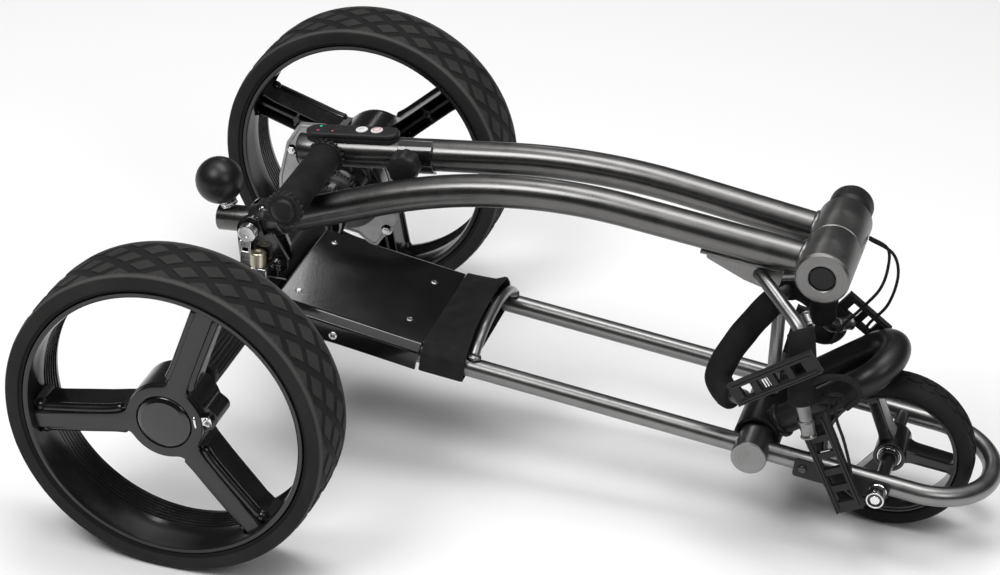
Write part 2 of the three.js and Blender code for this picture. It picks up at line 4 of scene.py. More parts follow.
import bmesh
import bpy
from mathutils import Matrix, Vector


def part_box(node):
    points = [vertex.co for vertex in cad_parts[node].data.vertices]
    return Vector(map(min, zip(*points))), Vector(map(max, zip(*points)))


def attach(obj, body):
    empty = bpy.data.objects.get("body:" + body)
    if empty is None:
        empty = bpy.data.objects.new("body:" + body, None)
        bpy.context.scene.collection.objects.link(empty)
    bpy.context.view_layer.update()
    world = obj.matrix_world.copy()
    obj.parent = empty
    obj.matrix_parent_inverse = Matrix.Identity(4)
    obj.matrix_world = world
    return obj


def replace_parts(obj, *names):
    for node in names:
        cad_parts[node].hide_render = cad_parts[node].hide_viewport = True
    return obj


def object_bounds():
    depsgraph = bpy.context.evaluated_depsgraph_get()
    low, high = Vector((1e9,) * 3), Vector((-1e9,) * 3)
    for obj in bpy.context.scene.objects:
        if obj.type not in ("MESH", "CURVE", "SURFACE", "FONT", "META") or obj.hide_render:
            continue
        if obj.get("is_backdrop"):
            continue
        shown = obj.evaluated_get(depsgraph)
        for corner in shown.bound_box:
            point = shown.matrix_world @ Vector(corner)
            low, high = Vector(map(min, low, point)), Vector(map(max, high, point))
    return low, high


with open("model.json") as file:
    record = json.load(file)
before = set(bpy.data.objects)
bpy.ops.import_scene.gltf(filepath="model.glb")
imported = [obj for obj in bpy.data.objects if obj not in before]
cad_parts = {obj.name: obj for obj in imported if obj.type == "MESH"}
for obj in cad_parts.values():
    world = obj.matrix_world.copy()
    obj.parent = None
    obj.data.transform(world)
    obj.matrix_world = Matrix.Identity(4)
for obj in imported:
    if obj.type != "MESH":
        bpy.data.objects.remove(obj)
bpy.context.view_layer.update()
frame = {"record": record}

# Electric golf trolley, folded flat. Shapes are drawn in millimetres from the rear axle's centre:
# x points to the front wheel, y to the trolley's left and z up. Blender gets them in metres.

BODY_OF = {node: body for body, nodes in frame["record"]["behaviour"]["bodies"].items() for node in nodes}
MM = 0.001


def middle(node):
    low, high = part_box(node)
    return (low + high) / 2


AXLE = (middle("right_tyre") + middle("left_tyre")) / 2


def place_of(node):
    """The middle of a CAD node, in millimetres from the rear axle's centre."""
    return (middle(node) - AXLE) / MM


def span_of(node):
    """The lowest and the highest corner of a CAD node's box, in the same millimetres."""
    low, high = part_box(node)
    return (low - AXLE) / MM, (high - AXLE) / MM


def radius_of(tyre):
    low, high = span_of(tyre)
    return (high.z - low.z) / 2


# ---- dimensions ----
REAR_RADIUS = radius_of("right_tyre")
TYRE_MIDDLE = abs(place_of("right_tyre").y)
FRONT = place_of("front_tyre")
FRONT_RADIUS = radius_of("front_tyre")

# The lower frame lies in a plane that slopes to the front wheel. Names in _S are distances along it.
FRAME_DROP = 7.9  # from the rear axle down to that plane
TILT = math.atan2(-FRONT.z - FRAME_DROP, FRONT.x)
TUBE_RADIUS, TUBE_Y = 9, 61.6
STOP_S, CROSS_S, NOSE_S = 207, 468.5, 675.1

# The post and the handle lie side by side, hinged behind the axle and to each other at the barrel.
POST_RADIUS, POST_Y = 14.7, -31
HANDLE_Y, HANDLE_SLOPE = 31, 0.125
HANDLE_START = Vector((9, HANDLE_Y, 111.5))
FOLD = Vector((-11, 0, 65))
BARREL = Vector((place_of("post_knuckle").x, 0, place_of("post_knuckle").z))
BARREL_RADIUS = 24
BARREL_NEAR, BARREL_SEAM, BARREL_FAR = -68, -13, 43  # along Y
ROD_RADIUS, FOAM_RADIUS = 6, 12

TURN = 2 * math.pi
LOWER = Matrix.Translation((0, 0, -FRAME_DROP)) @ Matrix.Rotation(TILT, 4, "Y")
HANDLE_TOP = Matrix.Translation(HANDLE_START) @ Matrix.Rotation(-math.atan(HANDLE_SLOPE), 4, "Y")
TRAY = LOWER @ Matrix.Translation((18, 0, 5.5)) @ Matrix.Rotation(0.05, 4, "Y")


# ---- shapes ----
class Shape:
    """Faces in millimetres. Each face corner has a place along the surface, in metres, for the finish."""

    def __init__(self, points=(), faces=(), places=()):
        self.points = [Vector(p) for p in points]
        self.faces = [list(face) for face in faces]
        self.places = [list(place) for place in places]

    def moved(self, matrix):
        return Shape([matrix @ p for p in self.points], self.faces, self.places)

    def bent(self, rule):
        return Shape([rule(p) for p in self.points], self.faces, self.places)

    def __add__(self, other):
        shift = len(self.points)
        faces = [[i + shift for i in face] for face in other.faces]
        return Shape(self.points + other.points, self.faces + faces, self.places + other.places)


def flat_places(points, face):
    """Places on a flat face, measured along the two axes that it spreads over most."""
    corners = [points[i] for i in face]
    spread = [max(c[k] for c in corners) - min(c[k] for c in corners) for k in range(3)]
    first, second = sorted(range(3), key=lambda k: -spread[k])[:2]
    return [(c[first] * MM, c[second] * MM) for c in corners]


def skin(rings, wrap=False, lengthwise=True):
    """The closed surface through rings of points. wrap joins the last ring to the first."""
    count, width = len(rings), len(rings[0])
    widest = max(rings, key=lambda ring: (ring[0] - ring[width // 2]).length)
    girth, along = [0.0], [0.0]
    for k in range(width):
        girth.append(girth[-1] + (widest[(k + 1) % width] - widest[k]).length * MM)
    for i in range(count):
        along.append(along[-1] + (rings[(i + 1) % count][0] - rings[i][0]).length * MM)
    points = [p for ring in rings for p in ring]
    faces, places = [], []
    for i in range(count if wrap else count - 1):
        for k in range(width):
            following, row = (k + 1) % width, ((i + 1) % count) * width
            faces.append([i * width + k, i * width + following, row + following, row + k])
            corners = [(girth[k], along[i]), (girth[k + 1], along[i])]
            corners += [(girth[k + 1], along[i + 1]), (girth[k], along[i + 1])]
            places.append(corners if lengthwise else [(b, a) for a, b in corners])
    if not wrap:
        for face in (list(range(width))[::-1], [(count - 1) * width + k for k in range(width)]):
            faces.append(face)
            places.append(flat_places(points, face))
    return Shape(points, faces, places)


def fillet(points, radii, pieces=6, closed=False):
    """A polyline with its corners turned into arcs."""
    points = [Vector(p) for p in points]
    count = len(points)
    if not isinstance(radii, (list, tuple)):
        radii = [radii] * count
    path = []
    for i, corner in enumerate(points):
        back, on = points[i - 1] - corner, points[(i + 1) % count] - corner
        half = back.angle(on) / 2 if back.length and on.length else 0
        if (not closed and i in (0, count - 1)) or radii[i] <= 0 or half > math.pi / 2 - 0.01:
            path.append(corner)
            continue
        reach = min(radii[i] / math.tan(half), 0.49 * min(back.length, on.length))
        back.normalize()
        on.normalize()
        centre = corner + (back + on).normalized() * (reach / math.cos(half))
        start, end = corner + back * reach - centre, corner + on * reach - centre
        bend = start.angle(end)
        for k in range(pieces + 1):
            share = k / pieces
            arm = start * math.sin((1 - share) * bend) + end * math.sin(share * bend)
            path.append(centre + arm / math.sin(bend))
    return path


def rounded(points, radii, pieces=4):
    """A closed outline with its corners turned into arcs."""
    return fillet(points, radii, pieces, closed=True)


def spline(points, pieces=12):
    """A centripetal Catmull-Rom curve through points."""
    points = [Vector(p) for p in points]
    ends = [2 * points[0] - points[1]] + points + [2 * points[-1] - points[-2]]
    path = []
    for a, b, c, d in zip(ends, ends[1:], ends[2:], ends[3:]):
        steps = [math.sqrt((q - p).length) for p, q in ((a, b), (b, c), (c, d))]
        leave = (b - a) / steps[0] - (c - a) / (steps[0] + steps[1]) + (c - b) / steps[1]
        reach = (c - b) / steps[1] - (d - b) / (steps[1] + steps[2]) + (d - c) / steps[2]
        leave, reach = leave * steps[1], reach * steps[1]
        for k in range(pieces):
            t = k / pieces
            path.append(b + leave * t + (3 * (c - b) - 2 * leave - reach) * t ** 2
                        + (2 * (b - c) + leave + reach) * t ** 3)
    return path + [points[-1]]


def dense(path, step=10):
    """A path again, with points added so that they are about a step apart."""
    fine = []
    for a, b in zip(path, path[1:]):
        pieces = max(1, round((b - a).length / step))
        fine += [a.lerp(b, k / pieces) for k in range(pieces)]
    return fine + [path[-1]]


def even(loop, count):
    """A closed loop again, as a set number of points at equal steps."""
    loop = loop + loop[:1]
    lengths = [(b - a).length for a, b in zip(loop, loop[1:])]
    step, made, k, passed = sum(lengths) / count, [], 0, 0.0
    for i in range(count):
        while k < len(lengths) - 1 and passed + lengths[k] < i * step:
            passed += lengths[k]
            k += 1
        made.append(loop[k].lerp(loop[k + 1], min(1.0, (i * step - passed) / max(lengths[k], 1e-9))))
    return made


def laid(points, place):
    """Points given in a place's own axes."""
    return [place @ Vector(p) for p in points]


def swept(path, radius, sides=28, edge=0.8, bore=0, flat=1.0):
    """A round bar along a path, with rounded ends. bore makes it a sleeve, flat thins its section."""
    path = [Vector(p) for p in path]
    lengths = [0.0]
    for a, b in zip(path, path[1:]):
        lengths.append(lengths[-1] + (b - a).length)
    first, last = (path[1] - path[0]).normalized(), (path[-1] - path[-2]).normalized()
    ends = [(edge * (1 - math.cos(a)), edge * (1 - math.sin(a))) for a in (0, 0.5, 1.0, math.pi / 2)]
    stations = [(path[0] + first * offset, first, radius - inset) for offset, inset in ends]
    for i in range(1, len(path) - 1):
        if lengths[i] > edge and lengths[-1] - lengths[i] > edge:
            tangent = (path[i + 1] - path[i]).normalized() + (path[i] - path[i - 1]).normalized()
            stations.append((path[i], tangent.normalized(), radius))
    stations += [(path[-1] - last * offset, last, radius - inset) for offset, inset in ends[::-1]]
    side = first.orthogonal().normalized()
    before, rings = first, []
    for point, tangent, size in stations:
        side = before.rotation_difference(tangent) @ side
        up = tangent.cross(side).normalized()
        before = tangent
        ring = [side * math.cos(TURN * k / sides) + up * flat * math.sin(TURN * k / sides)
                for k in range(sides)]
        rings.append((point, ring, size))
    outside = [[point + arm * size for arm in ring] for point, ring, size in rings]
    if not bore:
        return skin(outside)
    inside = [[point + arm * bore for arm in ring] for point, ring, _ in rings]
    return skin(outside + inside[::-1], wrap=True)


def circle(radius, height, steps, place=Matrix()):
    """Points round a place's Z axis."""
    return laid([(radius * math.cos(TURN * k / steps), radius * math.sin(TURN * k / steps), height)
                 for k in range(steps)], place)


def turned(profile, place=Matrix(), steps=96, wrap=False):
    """A body of revolution from (radius, height) pairs about a place's Z axis."""
    return skin([circle(radius, height, steps, place) for radius, height in profile], wrap, lengthwise=False)


def disc(radius, low, high, place=Matrix(), edge=0.6, steps=64):
    """A short round body with rounded edges."""
    profile = fillet([(0.2, low), (radius, low), (radius, high), (0.2, high)], [0, edge, edge, 0], 4)
    return turned(profile, place, steps)


def ring(inner, outer, low, high, place=Matrix(), edge=0.5, steps=96):
    """A short tube with rounded edges."""
    corners = [(inner, low), (outer, low), (outer, high), (inner, high)]
    return turned(rounded(corners, edge, 3), place, steps, wrap=True)


def ball(radius, centre, steps=32, squash=1.0):
    """A sphere, or a flattened one where squash is below 1."""
    half, place = steps // 2, Matrix.Translation(centre)
    rings = []
    for k in range(1, half):
        polar = math.pi * k / half
        rings.append(circle(radius * math.sin(polar), -radius * squash * math.cos(polar), steps, place))
    return skin(rings)


def spun(make, count, place):
    """What make(place) gives, at equal steps round a place's Z axis."""
    copies = Shape()
    for k in range(count):
        copies += make(place @ Matrix.Rotation(TURN * k / count, 4, "Z"))
    return copies


def facing(centre, direction):
    """A place whose Z axis points along direction."""
    turn = Vector((0, 0, 1)).rotation_difference(Vector(direction)).to_matrix().to_4x4()
    return Matrix.Translation(centre) @ turn


def prism(outline, low, high, place=Matrix()):
    """A flat plate: an outline in local x and y, between two local z values."""
    count = len(outline)
    points = [place @ Vector((p[0], p[1], z)) for z in (low, high) for p in outline]
    faces = [list(range(count))[::-1], [count + k for k in range(count)]]
    faces += [[k, (k + 1) % count, count + (k + 1) % count, count + k] for k in range(count)]
    return Shape(points, faces, [flat_places(points, face) for face in faces])


def box(low, high, place=Matrix()):
    outline = [(low[0], low[1]), (high[0], low[1]), (high[0], high[1]), (low[0], high[1])]
    return prism(outline, low[2], high[2], place)


def cells(xs, ys, filled, low, high, place=Matrix()):
    """A plate out of the cells of a grid: filled(i, j) says which ones are there."""
    rows, columns = len(xs), len(ys)
    points = [place @ Vector((x, y, z)) for z in (low, high) for x in xs for y in ys]
    there = {(i, j) for i in range(rows - 1) for j in range(columns - 1) if filled(i, j)}
    faces = []
    top = rows * columns
    for i, j in sorted(there):
        a, b = i * columns + j, (i + 1) * columns + j
        faces += [[a, a + 1, b + 1, b], [top + a, top + b, top + b + 1, top + a + 1]]
        walls = {(i - 1, j): (a, a + 1), (i + 1, j): (b, b + 1),
                 (i, j - 1): (a, b), (i, j + 1): (a + 1, b + 1)}
        for beside, (p, q) in walls.items():
            if beside not in there:
                faces.append([p, q, top + q, top + p])
    return Shape(points, faces, [flat_places(points, face) for face in faces])


ALONG_Y = facing((0, 0, 0), (0, 1, 0))
UPRIGHT = Matrix.Rotation(math.pi / 2, 4, "X")


def upright(y):
    """A place at y where a plate's outline stands in x and z, with its low side at +Y."""
    return Matrix.Translation((0, y, 0)) @ UPRIGHT


def about_z(degrees):
    return Matrix.Rotation(math.radians(degrees), 4, "Z")


def detail(name, node, finish, shape, bevel=0.0, sharp=38, tone=None):
    """A finished mesh that moves with a CAD node's body. tone gives each point a value for its finish."""
    mesh = bpy.data.meshes.new(name)
    mesh.from_pydata([AXLE + p * MM for p in shape.points], [], shape.faces)
    layer = mesh.uv_layers.new(name="surface")
    layer.data.foreach_set("uv", [value for face in shape.places for corner in face for value in corner])
    work = bmesh.new()
    work.from_mesh(mesh)
    if tone:
        layer = work.verts.layers.float.new("tone")
        for v in work.verts:
            v[layer] = tone((v.co - AXLE) / MM)
    bmesh.ops.delete(work, geom=[v for v in work.verts if not v.link_faces], context="VERTS")
    bmesh.ops.remove_doubles(work, verts=work.verts, dist=2e-6)
    bmesh.ops.recalc_face_normals(work, faces=work.faces)
    work.to_mesh(mesh)
    work.free()
    mesh.shade_smooth()
    mesh.materials.append(FINISHES[finish])
    made = bpy.data.objects.new(name, mesh)
    bpy.context.scene.collection.objects.link(made)
    if bevel:
        edges = made.modifiers.new("edges", "BEVEL")
        edges.width = bevel * MM
        edges.segments = 2
        edges.limit_method = "ANGLE"
        edges.angle_limit = math.radians(32)
        edges.harden_normals = True
    else:
        mesh.set_sharp_from_angle(angle=math.radians(sharp))
    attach(made, BODY_OF[node])
    return made


def piece(name, node, finish, shape, **looks):
    """A finished mesh that stands for a CAD node."""
    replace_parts(detail(name, node, finish, shape, **looks), node)


# ---- finishes ----
class Finish:
    """A procedural material under construction."""

    def __init__(self, name, **principled):
        self.material = bpy.data.materials.new(name)
        self.material.use_nodes = True
        self.tree = self.material.node_tree
        self.shader = self.tree.nodes["Principled BSDF"]
        places = self.tree.nodes.new("ShaderNodeTexCoord")
        self.surface, self.space = places.outputs["UV"], places.outputs["Object"]
        self.set(**principled)

    def put(self, socket, value):
        if isinstance(value, bpy.types.NodeSocket):
            self.tree.links.new(value, socket)
        else:
            socket.default_value = value

    def set(self, **principled):
        for name, value in principled.items():
            self.put(self.shader.inputs[name.replace("_", " ")], value)
        return self

    def node(self, kind, settings=None, **inputs):
        made = self.tree.nodes.new("ShaderNode" + kind)
        for name, value in (settings or {}).items():
            setattr(made, name, value)
        for name, value in inputs.items():
            self.put(made.inputs[name.replace("_", " ")], value)
        return made

    def stretched(self, source, x, y, z=1.0):
        return self.node("Mapping", Vector=source, Scale=(x, y, z)).outputs["Vector"]

    def noise(self, source, scale=1.0, detail=3.0, roughness=0.55):
        made = self.node("TexNoise", Vector=source, Scale=scale, Detail=detail, Roughness=roughness)
        return made.outputs["Fac"]

    def level(self, value, low, high, start=0.3, end=0.7):
        """Maps start..end of a value onto low..high."""
        made = self.node("MapRange", Value=value, From_Min=start, From_Max=end, To_Min=low, To_Max=high)
        return made.outputs["Result"]

    def tint(self, value, dark, light):
        """A colour between dark at 0.3 and light at 0.7."""
        ramp = self.node("ValToRGB", Fac=value)
        for stop, place, colour in zip(ramp.color_ramp.elements, (0.3, 0.7), (dark, light)):
            stop.position = place
            stop.color = (*colour, 1)
        return ramp.outputs["Color"]

    def blend(self, share, one, other):
        made = self.node("Mix", {"data_type": "RGBA"})
        for socket, value in zip((made.inputs[0], made.inputs[6], made.inputs[7]), (share, one, other)):
            self.put(socket, value)
        return made.outputs[2]

    def math(self, operation, one, other=0.0):
        made = self.node("Math", {"operation": operation})
        self.put(made.inputs[0], one)
        self.put(made.inputs[1], other)
        return made.outputs[0]

    def relief(self, height, depth, normal=None):
        """A bump of depth millimetres for a height between 0 and 1."""
        made = self.node("Bump", Height=height, Distance=depth * MM, Strength=1.0)
        if normal is not None:
            self.put(made.inputs["Normal"], normal)
        self.put(self.shader.inputs["Normal"], made.outputs["Normal"])
        return made.outputs["Normal"]

    def edges(self, start=0.52, end=0.6):
        """1 on worn outer edges, 0 elsewhere."""
        point = self.node("NewGeometry").outputs["Pointiness"]
        return self.level(point, 0.0, 1.0, start, end)


def grey(value, warm=1.0):
    return (value * warm, value, value / warm)


def metal(name, dark, light, rough, streaks=(2600, 9), depth=0.006, anisotropy=0.5):
    """Drawn or turned metal: fine lines along the surface, cloudy wear across it."""
    finish = Finish(name, Metallic=1.0)
    lines = finish.noise(finish.stretched(finish.surface, *streaks), 1.0, 4.0)
    clouds = finish.noise(finish.space, 55.0, 4.0)
    grain = finish.noise(finish.space, 2400.0, 2.0)
    mixed = finish.math("ADD", finish.math("MULTIPLY", lines, 0.7), finish.math("MULTIPLY", clouds, 0.3))
    finish.set(Base_Color=finish.tint(mixed, dark, light))
    worn = finish.math("ADD", finish.math("MULTIPLY", lines, 0.5), finish.math("MULTIPLY", clouds, 0.5))
    finish.set(Roughness=finish.level(worn, *rough), Anisotropic=anisotropy)
    finish.relief(finish.math("ADD", lines, finish.math("MULTIPLY", grain, 0.5)), depth)
    return finish.material


def moulded(name, colour, rough, grain=0.012, scale=1500.0, wear=0.35, specular=0.5):
    """Moulded plastic: fine grain, faint flow clouds, paler rubbed edges."""
    finish = Finish(name, Specular_IOR_Level=specular)
    clouds = finish.noise(finish.space, 38.0, 5.0)
    tone = finish.tint(clouds, grey(colour * 0.85), grey(colour * 1.2))
    rubbed = finish.math("MULTIPLY", finish.edges(), finish.level(clouds, 0.1, wear))
    finish.set(Base_Color=finish.blend(rubbed, tone, (*grey(colour * 2.5 + 0.03), 1)))
    finish.set(Roughness=finish.level(clouds, *rough))
    finish.relief(finish.noise(finish.space, scale, 3.0), grain)
    return finish.material


def painted(name, colour, rough, peel=0.03):
    """Gloss coat over metal, with the slow waves of sprayed paint."""
    finish = Finish(name, Coat_Weight=0.6, Coat_Roughness=0.06)
    clouds = finish.noise(finish.space, 30.0, 5.0)
    dust = finish.level(finish.noise(finish.space, 900.0, 6.0), 0.0, 0.25, 0.62, 0.75)
    tone = finish.tint(clouds, grey(colour * 0.8), grey(colour * 1.2))
    finish.set(Base_Color=finish.blend(dust, tone, (*grey(colour * 4 + 0.02), 1)))
    finish.set(Roughness=finish.level(clouds, *rough))
    finish.relief(finish.noise(finish.space, 340.0, 2.0), peel)
    return finish.material


def rubber(name):
    """Tyre rubber, with light and shade painted from the vertex tone: painted shade in the grooves and on the
    bead next to the rim, a darker sidewall, and a painted highlight on the tyre's rounded shoulders. A tyre
    without the tone attribute reads 0 and is darkened all over like a groove.
    """
    finish = Finish(name, Specular_IOR_Level=0.16)
    clouds = finish.noise(finish.space, 22.0, 6.0)
    fine = finish.noise(finish.space, 1300.0, 4.0)
    tone = finish.tint(clouds, grey(0.022, 1.02), grey(0.038, 1.03))
    dusty = finish.math("MULTIPLY", finish.level(fine, 0.0, 0.5, 0.45, 0.7), finish.level(clouds, 0.2, 0.6))
    tone = finish.blend(dusty, tone, (*grey(0.055, 1.04), 1))
    mark = finish.node("Attribute", {"attribute_name": "tone"}).outputs["Fac"]
    # painted highlight: where the tone is above 0.5, on the tyre's shoulders, the colour is blended towards a
    # paler grey
    edge = finish.math("MULTIPLY", finish.level(mark, 0.0, 1.0, 0.5, 1.0), 0.6)
    tone = finish.blend(edge, tone, (*grey(0.13, 1.03), 1))
    # painted shade: where the tone is below 0.5, in the grooves, on the bead and less on the sidewall, the
    # colour is blended towards black
    finish.set(Base_Color=finish.blend(finish.level(mark, 0.75, 0.0, 0.0, 0.5), tone, (*grey(0.006), 1)))
    finish.set(Roughness=finish.level(fine, 0.7, 0.9))
    finish.relief(fine, 0.05)
    return finish.material


def foam(name):
    finish = Finish(name, Specular_IOR_Level=0.1)
    bubbles = finish.node("TexVoronoi", Vector=finish.space, Scale=1100.0).outputs["Distance"]
    clouds = finish.noise(finish.space, 60.0, 5.0)
    finish.set(Base_Color=finish.tint(clouds, grey(0.009), grey(0.017)))
    finish.set(Roughness=finish.level(bubbles, 0.95, 0.75, 0.1, 0.6))
    finish.relief(finish.math("ADD", bubbles, finish.math("MULTIPLY", clouds, 2.0)), 0.12)
    return finish.material


def webbing(name):
    """Flat woven strap: ribs that cross at right angles."""
    finish = Finish(name, Specular_IOR_Level=0.15)
    split = finish.node("SeparateXYZ", Vector=finish.surface)
    waves = [finish.math("SINE", finish.math("MULTIPLY", split.outputs[k], TURN / pitch))
             for k, pitch in ((0, 0.0011), (1, 0.0016))]
    weave = finish.level(finish.math("MULTIPLY", *waves), 0.0, 1.0, -1.0, 1.0)
    clouds = finish.noise(finish.space, 70.0, 4.0)
    tone = finish.tint(weave, grey(0.005), grey(0.016))
    finish.set(Base_Color=finish.blend(finish.level(clouds, 0, 0.4), tone, (*grey(0.03), 1)))
    finish.set(Roughness=finish.level(weave, 0.9, 0.6, 0.0, 1.0))
    finish.relief(weave, 0.16)
    return finish.material


def cast(name):
    """Bare grey die casting."""
    finish = Finish(name, Metallic=0.75)
    clouds = finish.noise(finish.space, 45.0, 6.0)
    fine = finish.noise(finish.space, 1600.0, 4.0)
    finish.set(Base_Color=finish.tint(clouds, grey(0.3), grey(0.44)))
    finish.set(Roughness=finish.level(fine, 0.42, 0.62))
    finish.relief(fine, 0.06)
    return finish.material


def enamel(name, colour):
    """A printed key cap."""
    finish = Finish(name, Specular_IOR_Level=0.5)
    clouds = finish.noise(finish.space, 240.0, 4.0)
    finish.set(Base_Color=finish.tint(clouds, [c * 0.85 for c in colour], colour))
    finish.set(Roughness=finish.level(clouds, 0.3, 0.45))
    finish.relief(finish.noise(finish.space, 2500.0, 2.0), 0.01)
    return finish.material


def lamp(name, colour):
    """A small lens with a faint glow."""
    finish = Finish(name, Emission_Strength=0.35)
    glow = finish.tint(finish.noise(finish.space, 600.0), [c * 0.7 for c in colour], colour)
    finish.set(Base_Color=glow, Emission_Color=glow, Roughness=0.2)
    return finish.material


FINISHES = {name: make(name, *looks) for name, make, *looks in (
    ("stainless", metal, grey(0.16, 1.01), grey(0.3, 1.01), (0.26, 0.4)),
    ("gunmetal", metal, grey(0.1, 1.02), grey(0.19, 1.02), (0.24, 0.36), (2200, 12), 0.009),
    ("satin_steel", metal, grey(0.15, 1.02), grey(0.24, 1.02), (0.34, 0.46), (900, 30), 0.006, 0.3),
    ("chrome", metal, grey(0.6), grey(0.85), (0.1, 0.2), (1200, 20), 0.002, 0.2),
    ("brass", metal, (0.5, 0.45, 0.35), (0.78, 0.72, 0.6), (0.22, 0.38), (900, 30), 0.006, 0.3),
    ("casting", cast),
    ("black_paint", painted, 0.008, (0.3, 0.45), 0.04),
    ("gloss_black", painted, 0.004, (0.1, 0.18), 0.05),
    ("satin_black", moulded, 0.008, (0.3, 0.42), 0.02, 700.0, 0.2, 0.35),
    ("black_plastic", moulded, 0.011, (0.42, 0.58), 0.03, 1500.0, 0.25, 0.3),
    ("rim_plastic", moulded, 0.006, (0.15, 0.26), 0.01, 700.0, 0.2, 0.55),
    ("tyre", rubber),
    ("foam", foam),
    ("webbing", webbing),
    ("white_plastic", enamel, (0.75, 0.75, 0.74)),
    ("red_plastic", enamel, (0.62, 0.12, 0.14)),
    ("lamp_green", lamp, (0.05, 0.6, 0.4)),
    ("lamp_red", lamp, (0.6, 0.05, 0.08)),
    ("lamp_amber", lamp, (0.5, 0.08, 0.1)),
)}


# ---- fasteners ----
def socket_screw(centre, direction, radius=3.6, height=3.0):
    """A button-head screw with a hexagonal socket."""
    place = facing(centre, direction)
    socket = radius * 0.45
    profile = [(radius, 0)] + fillet([(radius, height * 0.3), (radius * 0.9, height * 0.8),
                                      (radius * 0.62, height), (socket + 0.2, height)], radius * 0.3, 4)
    dome = turned(profile + [(socket, height - 0.2)], place, 40)
    return dome + skin([circle(socket, z, 6, place) for z in (height + 0.02, height - 1.2)])


def hex_head(centre, direction, radius, height):
    """A hexagonal nut or bolt head with a turned crown and a washer under it."""
    place = facing(centre, direction)
    section = ((radius, 0), (radius, height * 0.85), (radius * 0.9, height))
    rings = [circle(r, z, 6, place) for r, z in section]
    crown = disc(radius * 0.55, height - 0.2, height + 1.4, place, 0.5, 32)
    return skin(rings) + disc(radius * 1.35, -1.0, 0.0, place, 0.3, 40) + crown


def bead(path, radius, seed):
    """A weld seam: a bar with even ripples on top."""
    shape = swept(path, radius, 12, 0.5)
    return shape.bent(lambda p: p + Vector((0, 0, 1)) * 0.25 * math.sin(seed + p.x * 2.1 + p.y * 1.7))


# ---- rear wheels ----
TREAD_COLUMNS, TREAD_ROWS = 48, 2  # pads round the tyre, and rows on each side of its middle
TREAD_STEP, TREAD_DEPTH = 14.0, 1.1
TREAD_HALF = TREAD_ROWS * TREAD_STEP + 2.2
SHOULDER = 3.5  # width of the plain band along each edge of a tread
CROWN_DROP, CROWN_POWER = 1.1, 2.4  # how far a tread falls away at its edge, and how late it does
SPOKES = {"right": (71, 191, 311), "left": (42, 162, 282)}


def crown(across, half_tread):
    """How far a tread has fallen away at a distance from its middle."""
    return CROWN_DROP * (abs(across) / half_tread) ** CROWN_POWER


def tread(radius, half_tread, columns, rows, row_step, depth, side_profile, pad_edge=0.165):
    """A tyre: raised rhombic pads on a sheet that is wrapped round, then closed over the bead.

    pad_edge is the share of a cell between its border and the foot of its pad.
    """
    column_step = TURN * radius / columns
    wall = 0.022  # share of a cell that a pad's side takes
    lines = [0, pad_edge * 0.5, pad_edge, pad_edge + wall, 0.34, 0.5, 0.66]
    lines += [1 - pad_edge - wall, 1 - pad_edge, 1 - pad_edge * 0.5, 1]
    size = len(lines)
    work = bmesh.new()
    for column in range(columns):
        for row in range(-rows - 1, rows + 2):
            if (column + row) % 2:
                continue
            grid = []
            for p in lines:
                for q in lines:
                    across = (row + p - q) * row_step
                    sunk = 0 if min(p, q, 1 - p, 1 - q) > pad_edge + wall / 2 else depth
                    if abs(across) > half_tread - SHOULDER:
                        sunk = depth * 0.4
                    height = radius - crown(across, half_tread) - sunk
                    grid.append(work.verts.new(((column + p + q - 1) * column_step, across, height)))
            for i in range(size - 1):
                for k in range(i * size, i * size + size - 1):
                    work.faces.new([grid[k], grid[k + 1], grid[k + size + 1], grid[k + size]])
    bmesh.ops.remove_doubles(work, verts=work.verts, dist=0.02)
    for side in (-1, 1):
        geometry = work.verts[:] + work.edges[:] + work.faces[:]
        bmesh.ops.bisect_plane(work, geom=geometry, plane_co=(0, side * half_tread, 0),
                               plane_no=(0, side, 0), clear_outer=True)
    for side in (-1, 1):
        border = [e for e in work.edges if e.is_boundary
                  and all(abs(v.co.y - side * half_tread) < 0.01 for v in e.verts)]
        for across, height in side_profile:
            made = bmesh.ops.extrude_edge_only(work, edges=border)["geom"]
            border = [e for e in made if isinstance(e, bmesh.types.BMEdge)]
            for v in {v for e in border for v in e.verts}:
                v.co.y, v.co.z = side * across, height
    points = []
    for v in work.verts:
        angle = v.co.x / radius
        points.append(Vector((v.co.z * math.cos(angle), v.co.z * math.sin(angle), v.co.y)))
    work.verts.index_update()
    ordered = sorted(work.faces, key=lambda face: sorted(v.index for v in face.verts))  # the same on each run
    faces = [[v.index for v in face.verts] for face in ordered]
    places = [[(v.co.x * MM, v.co.y * MM) for v in face.verts] for face in ordered]
    work.free()
    return Shape(points, faces, places)


def outward(side):
    """Maps a wheel's own axes, with Z out from the trolley's middle, to the trolley's."""
    return Matrix(((1, 0, 0, 0), (0, 0, side, 0), (0, 1, 0, 0), (0, 0, 0, 1)))


def spoke(angle, place):
    """A deep channel that opens inwards: side walls, a lengthwise rib, a cross rib and two crest rods."""
    inner, front, thickness = 246, 277, 1.3
    shape = Shape()
    for half in (-1, 1):
        wall = [(24, half * 12.5), (40, half * 9.9), (60, half * 9.2), (108, half * 9.2),
                (117, half * 10.4), (124, half * 14.5)]
        outer = [(x, y + half * thickness) for x, y in wall]
        shape += prism(fillet(wall, 8, 6) + fillet(outer, 8, 6)[::-1], inner, front + 1.5)
        crest = [(38, half * 10.2, 275.6), (48, half * 8.9, 276.2), (70, half * 8.7, 276.4),
                 (116, half * 9.0, 275.2)]
        shape += swept(spline(crest, 8), 4.6, 16, 3.2)
        shape += ball(6.2, Vector((117.4, half * 9.8, 273.4)), 20)
        foot = [(119.5, half * 10.6, 273), (121.6, half * 11.2, 268), (121.8, half * 11.2, 247)]
        shape += swept(foot, 2.8, 12, 1.0)
    shape += box((26, -1.4, inner + 3), (122, 1.4, 279))
    shape += box((80, -9.6, inner + 3), (82.6, 9.6, 279))
    shape += disc(4.0, inner + 2, 278, Matrix.Translation((81.4, 0, 0)), 0.8, 24)
    return shape.moved(place @ about_z(angle))


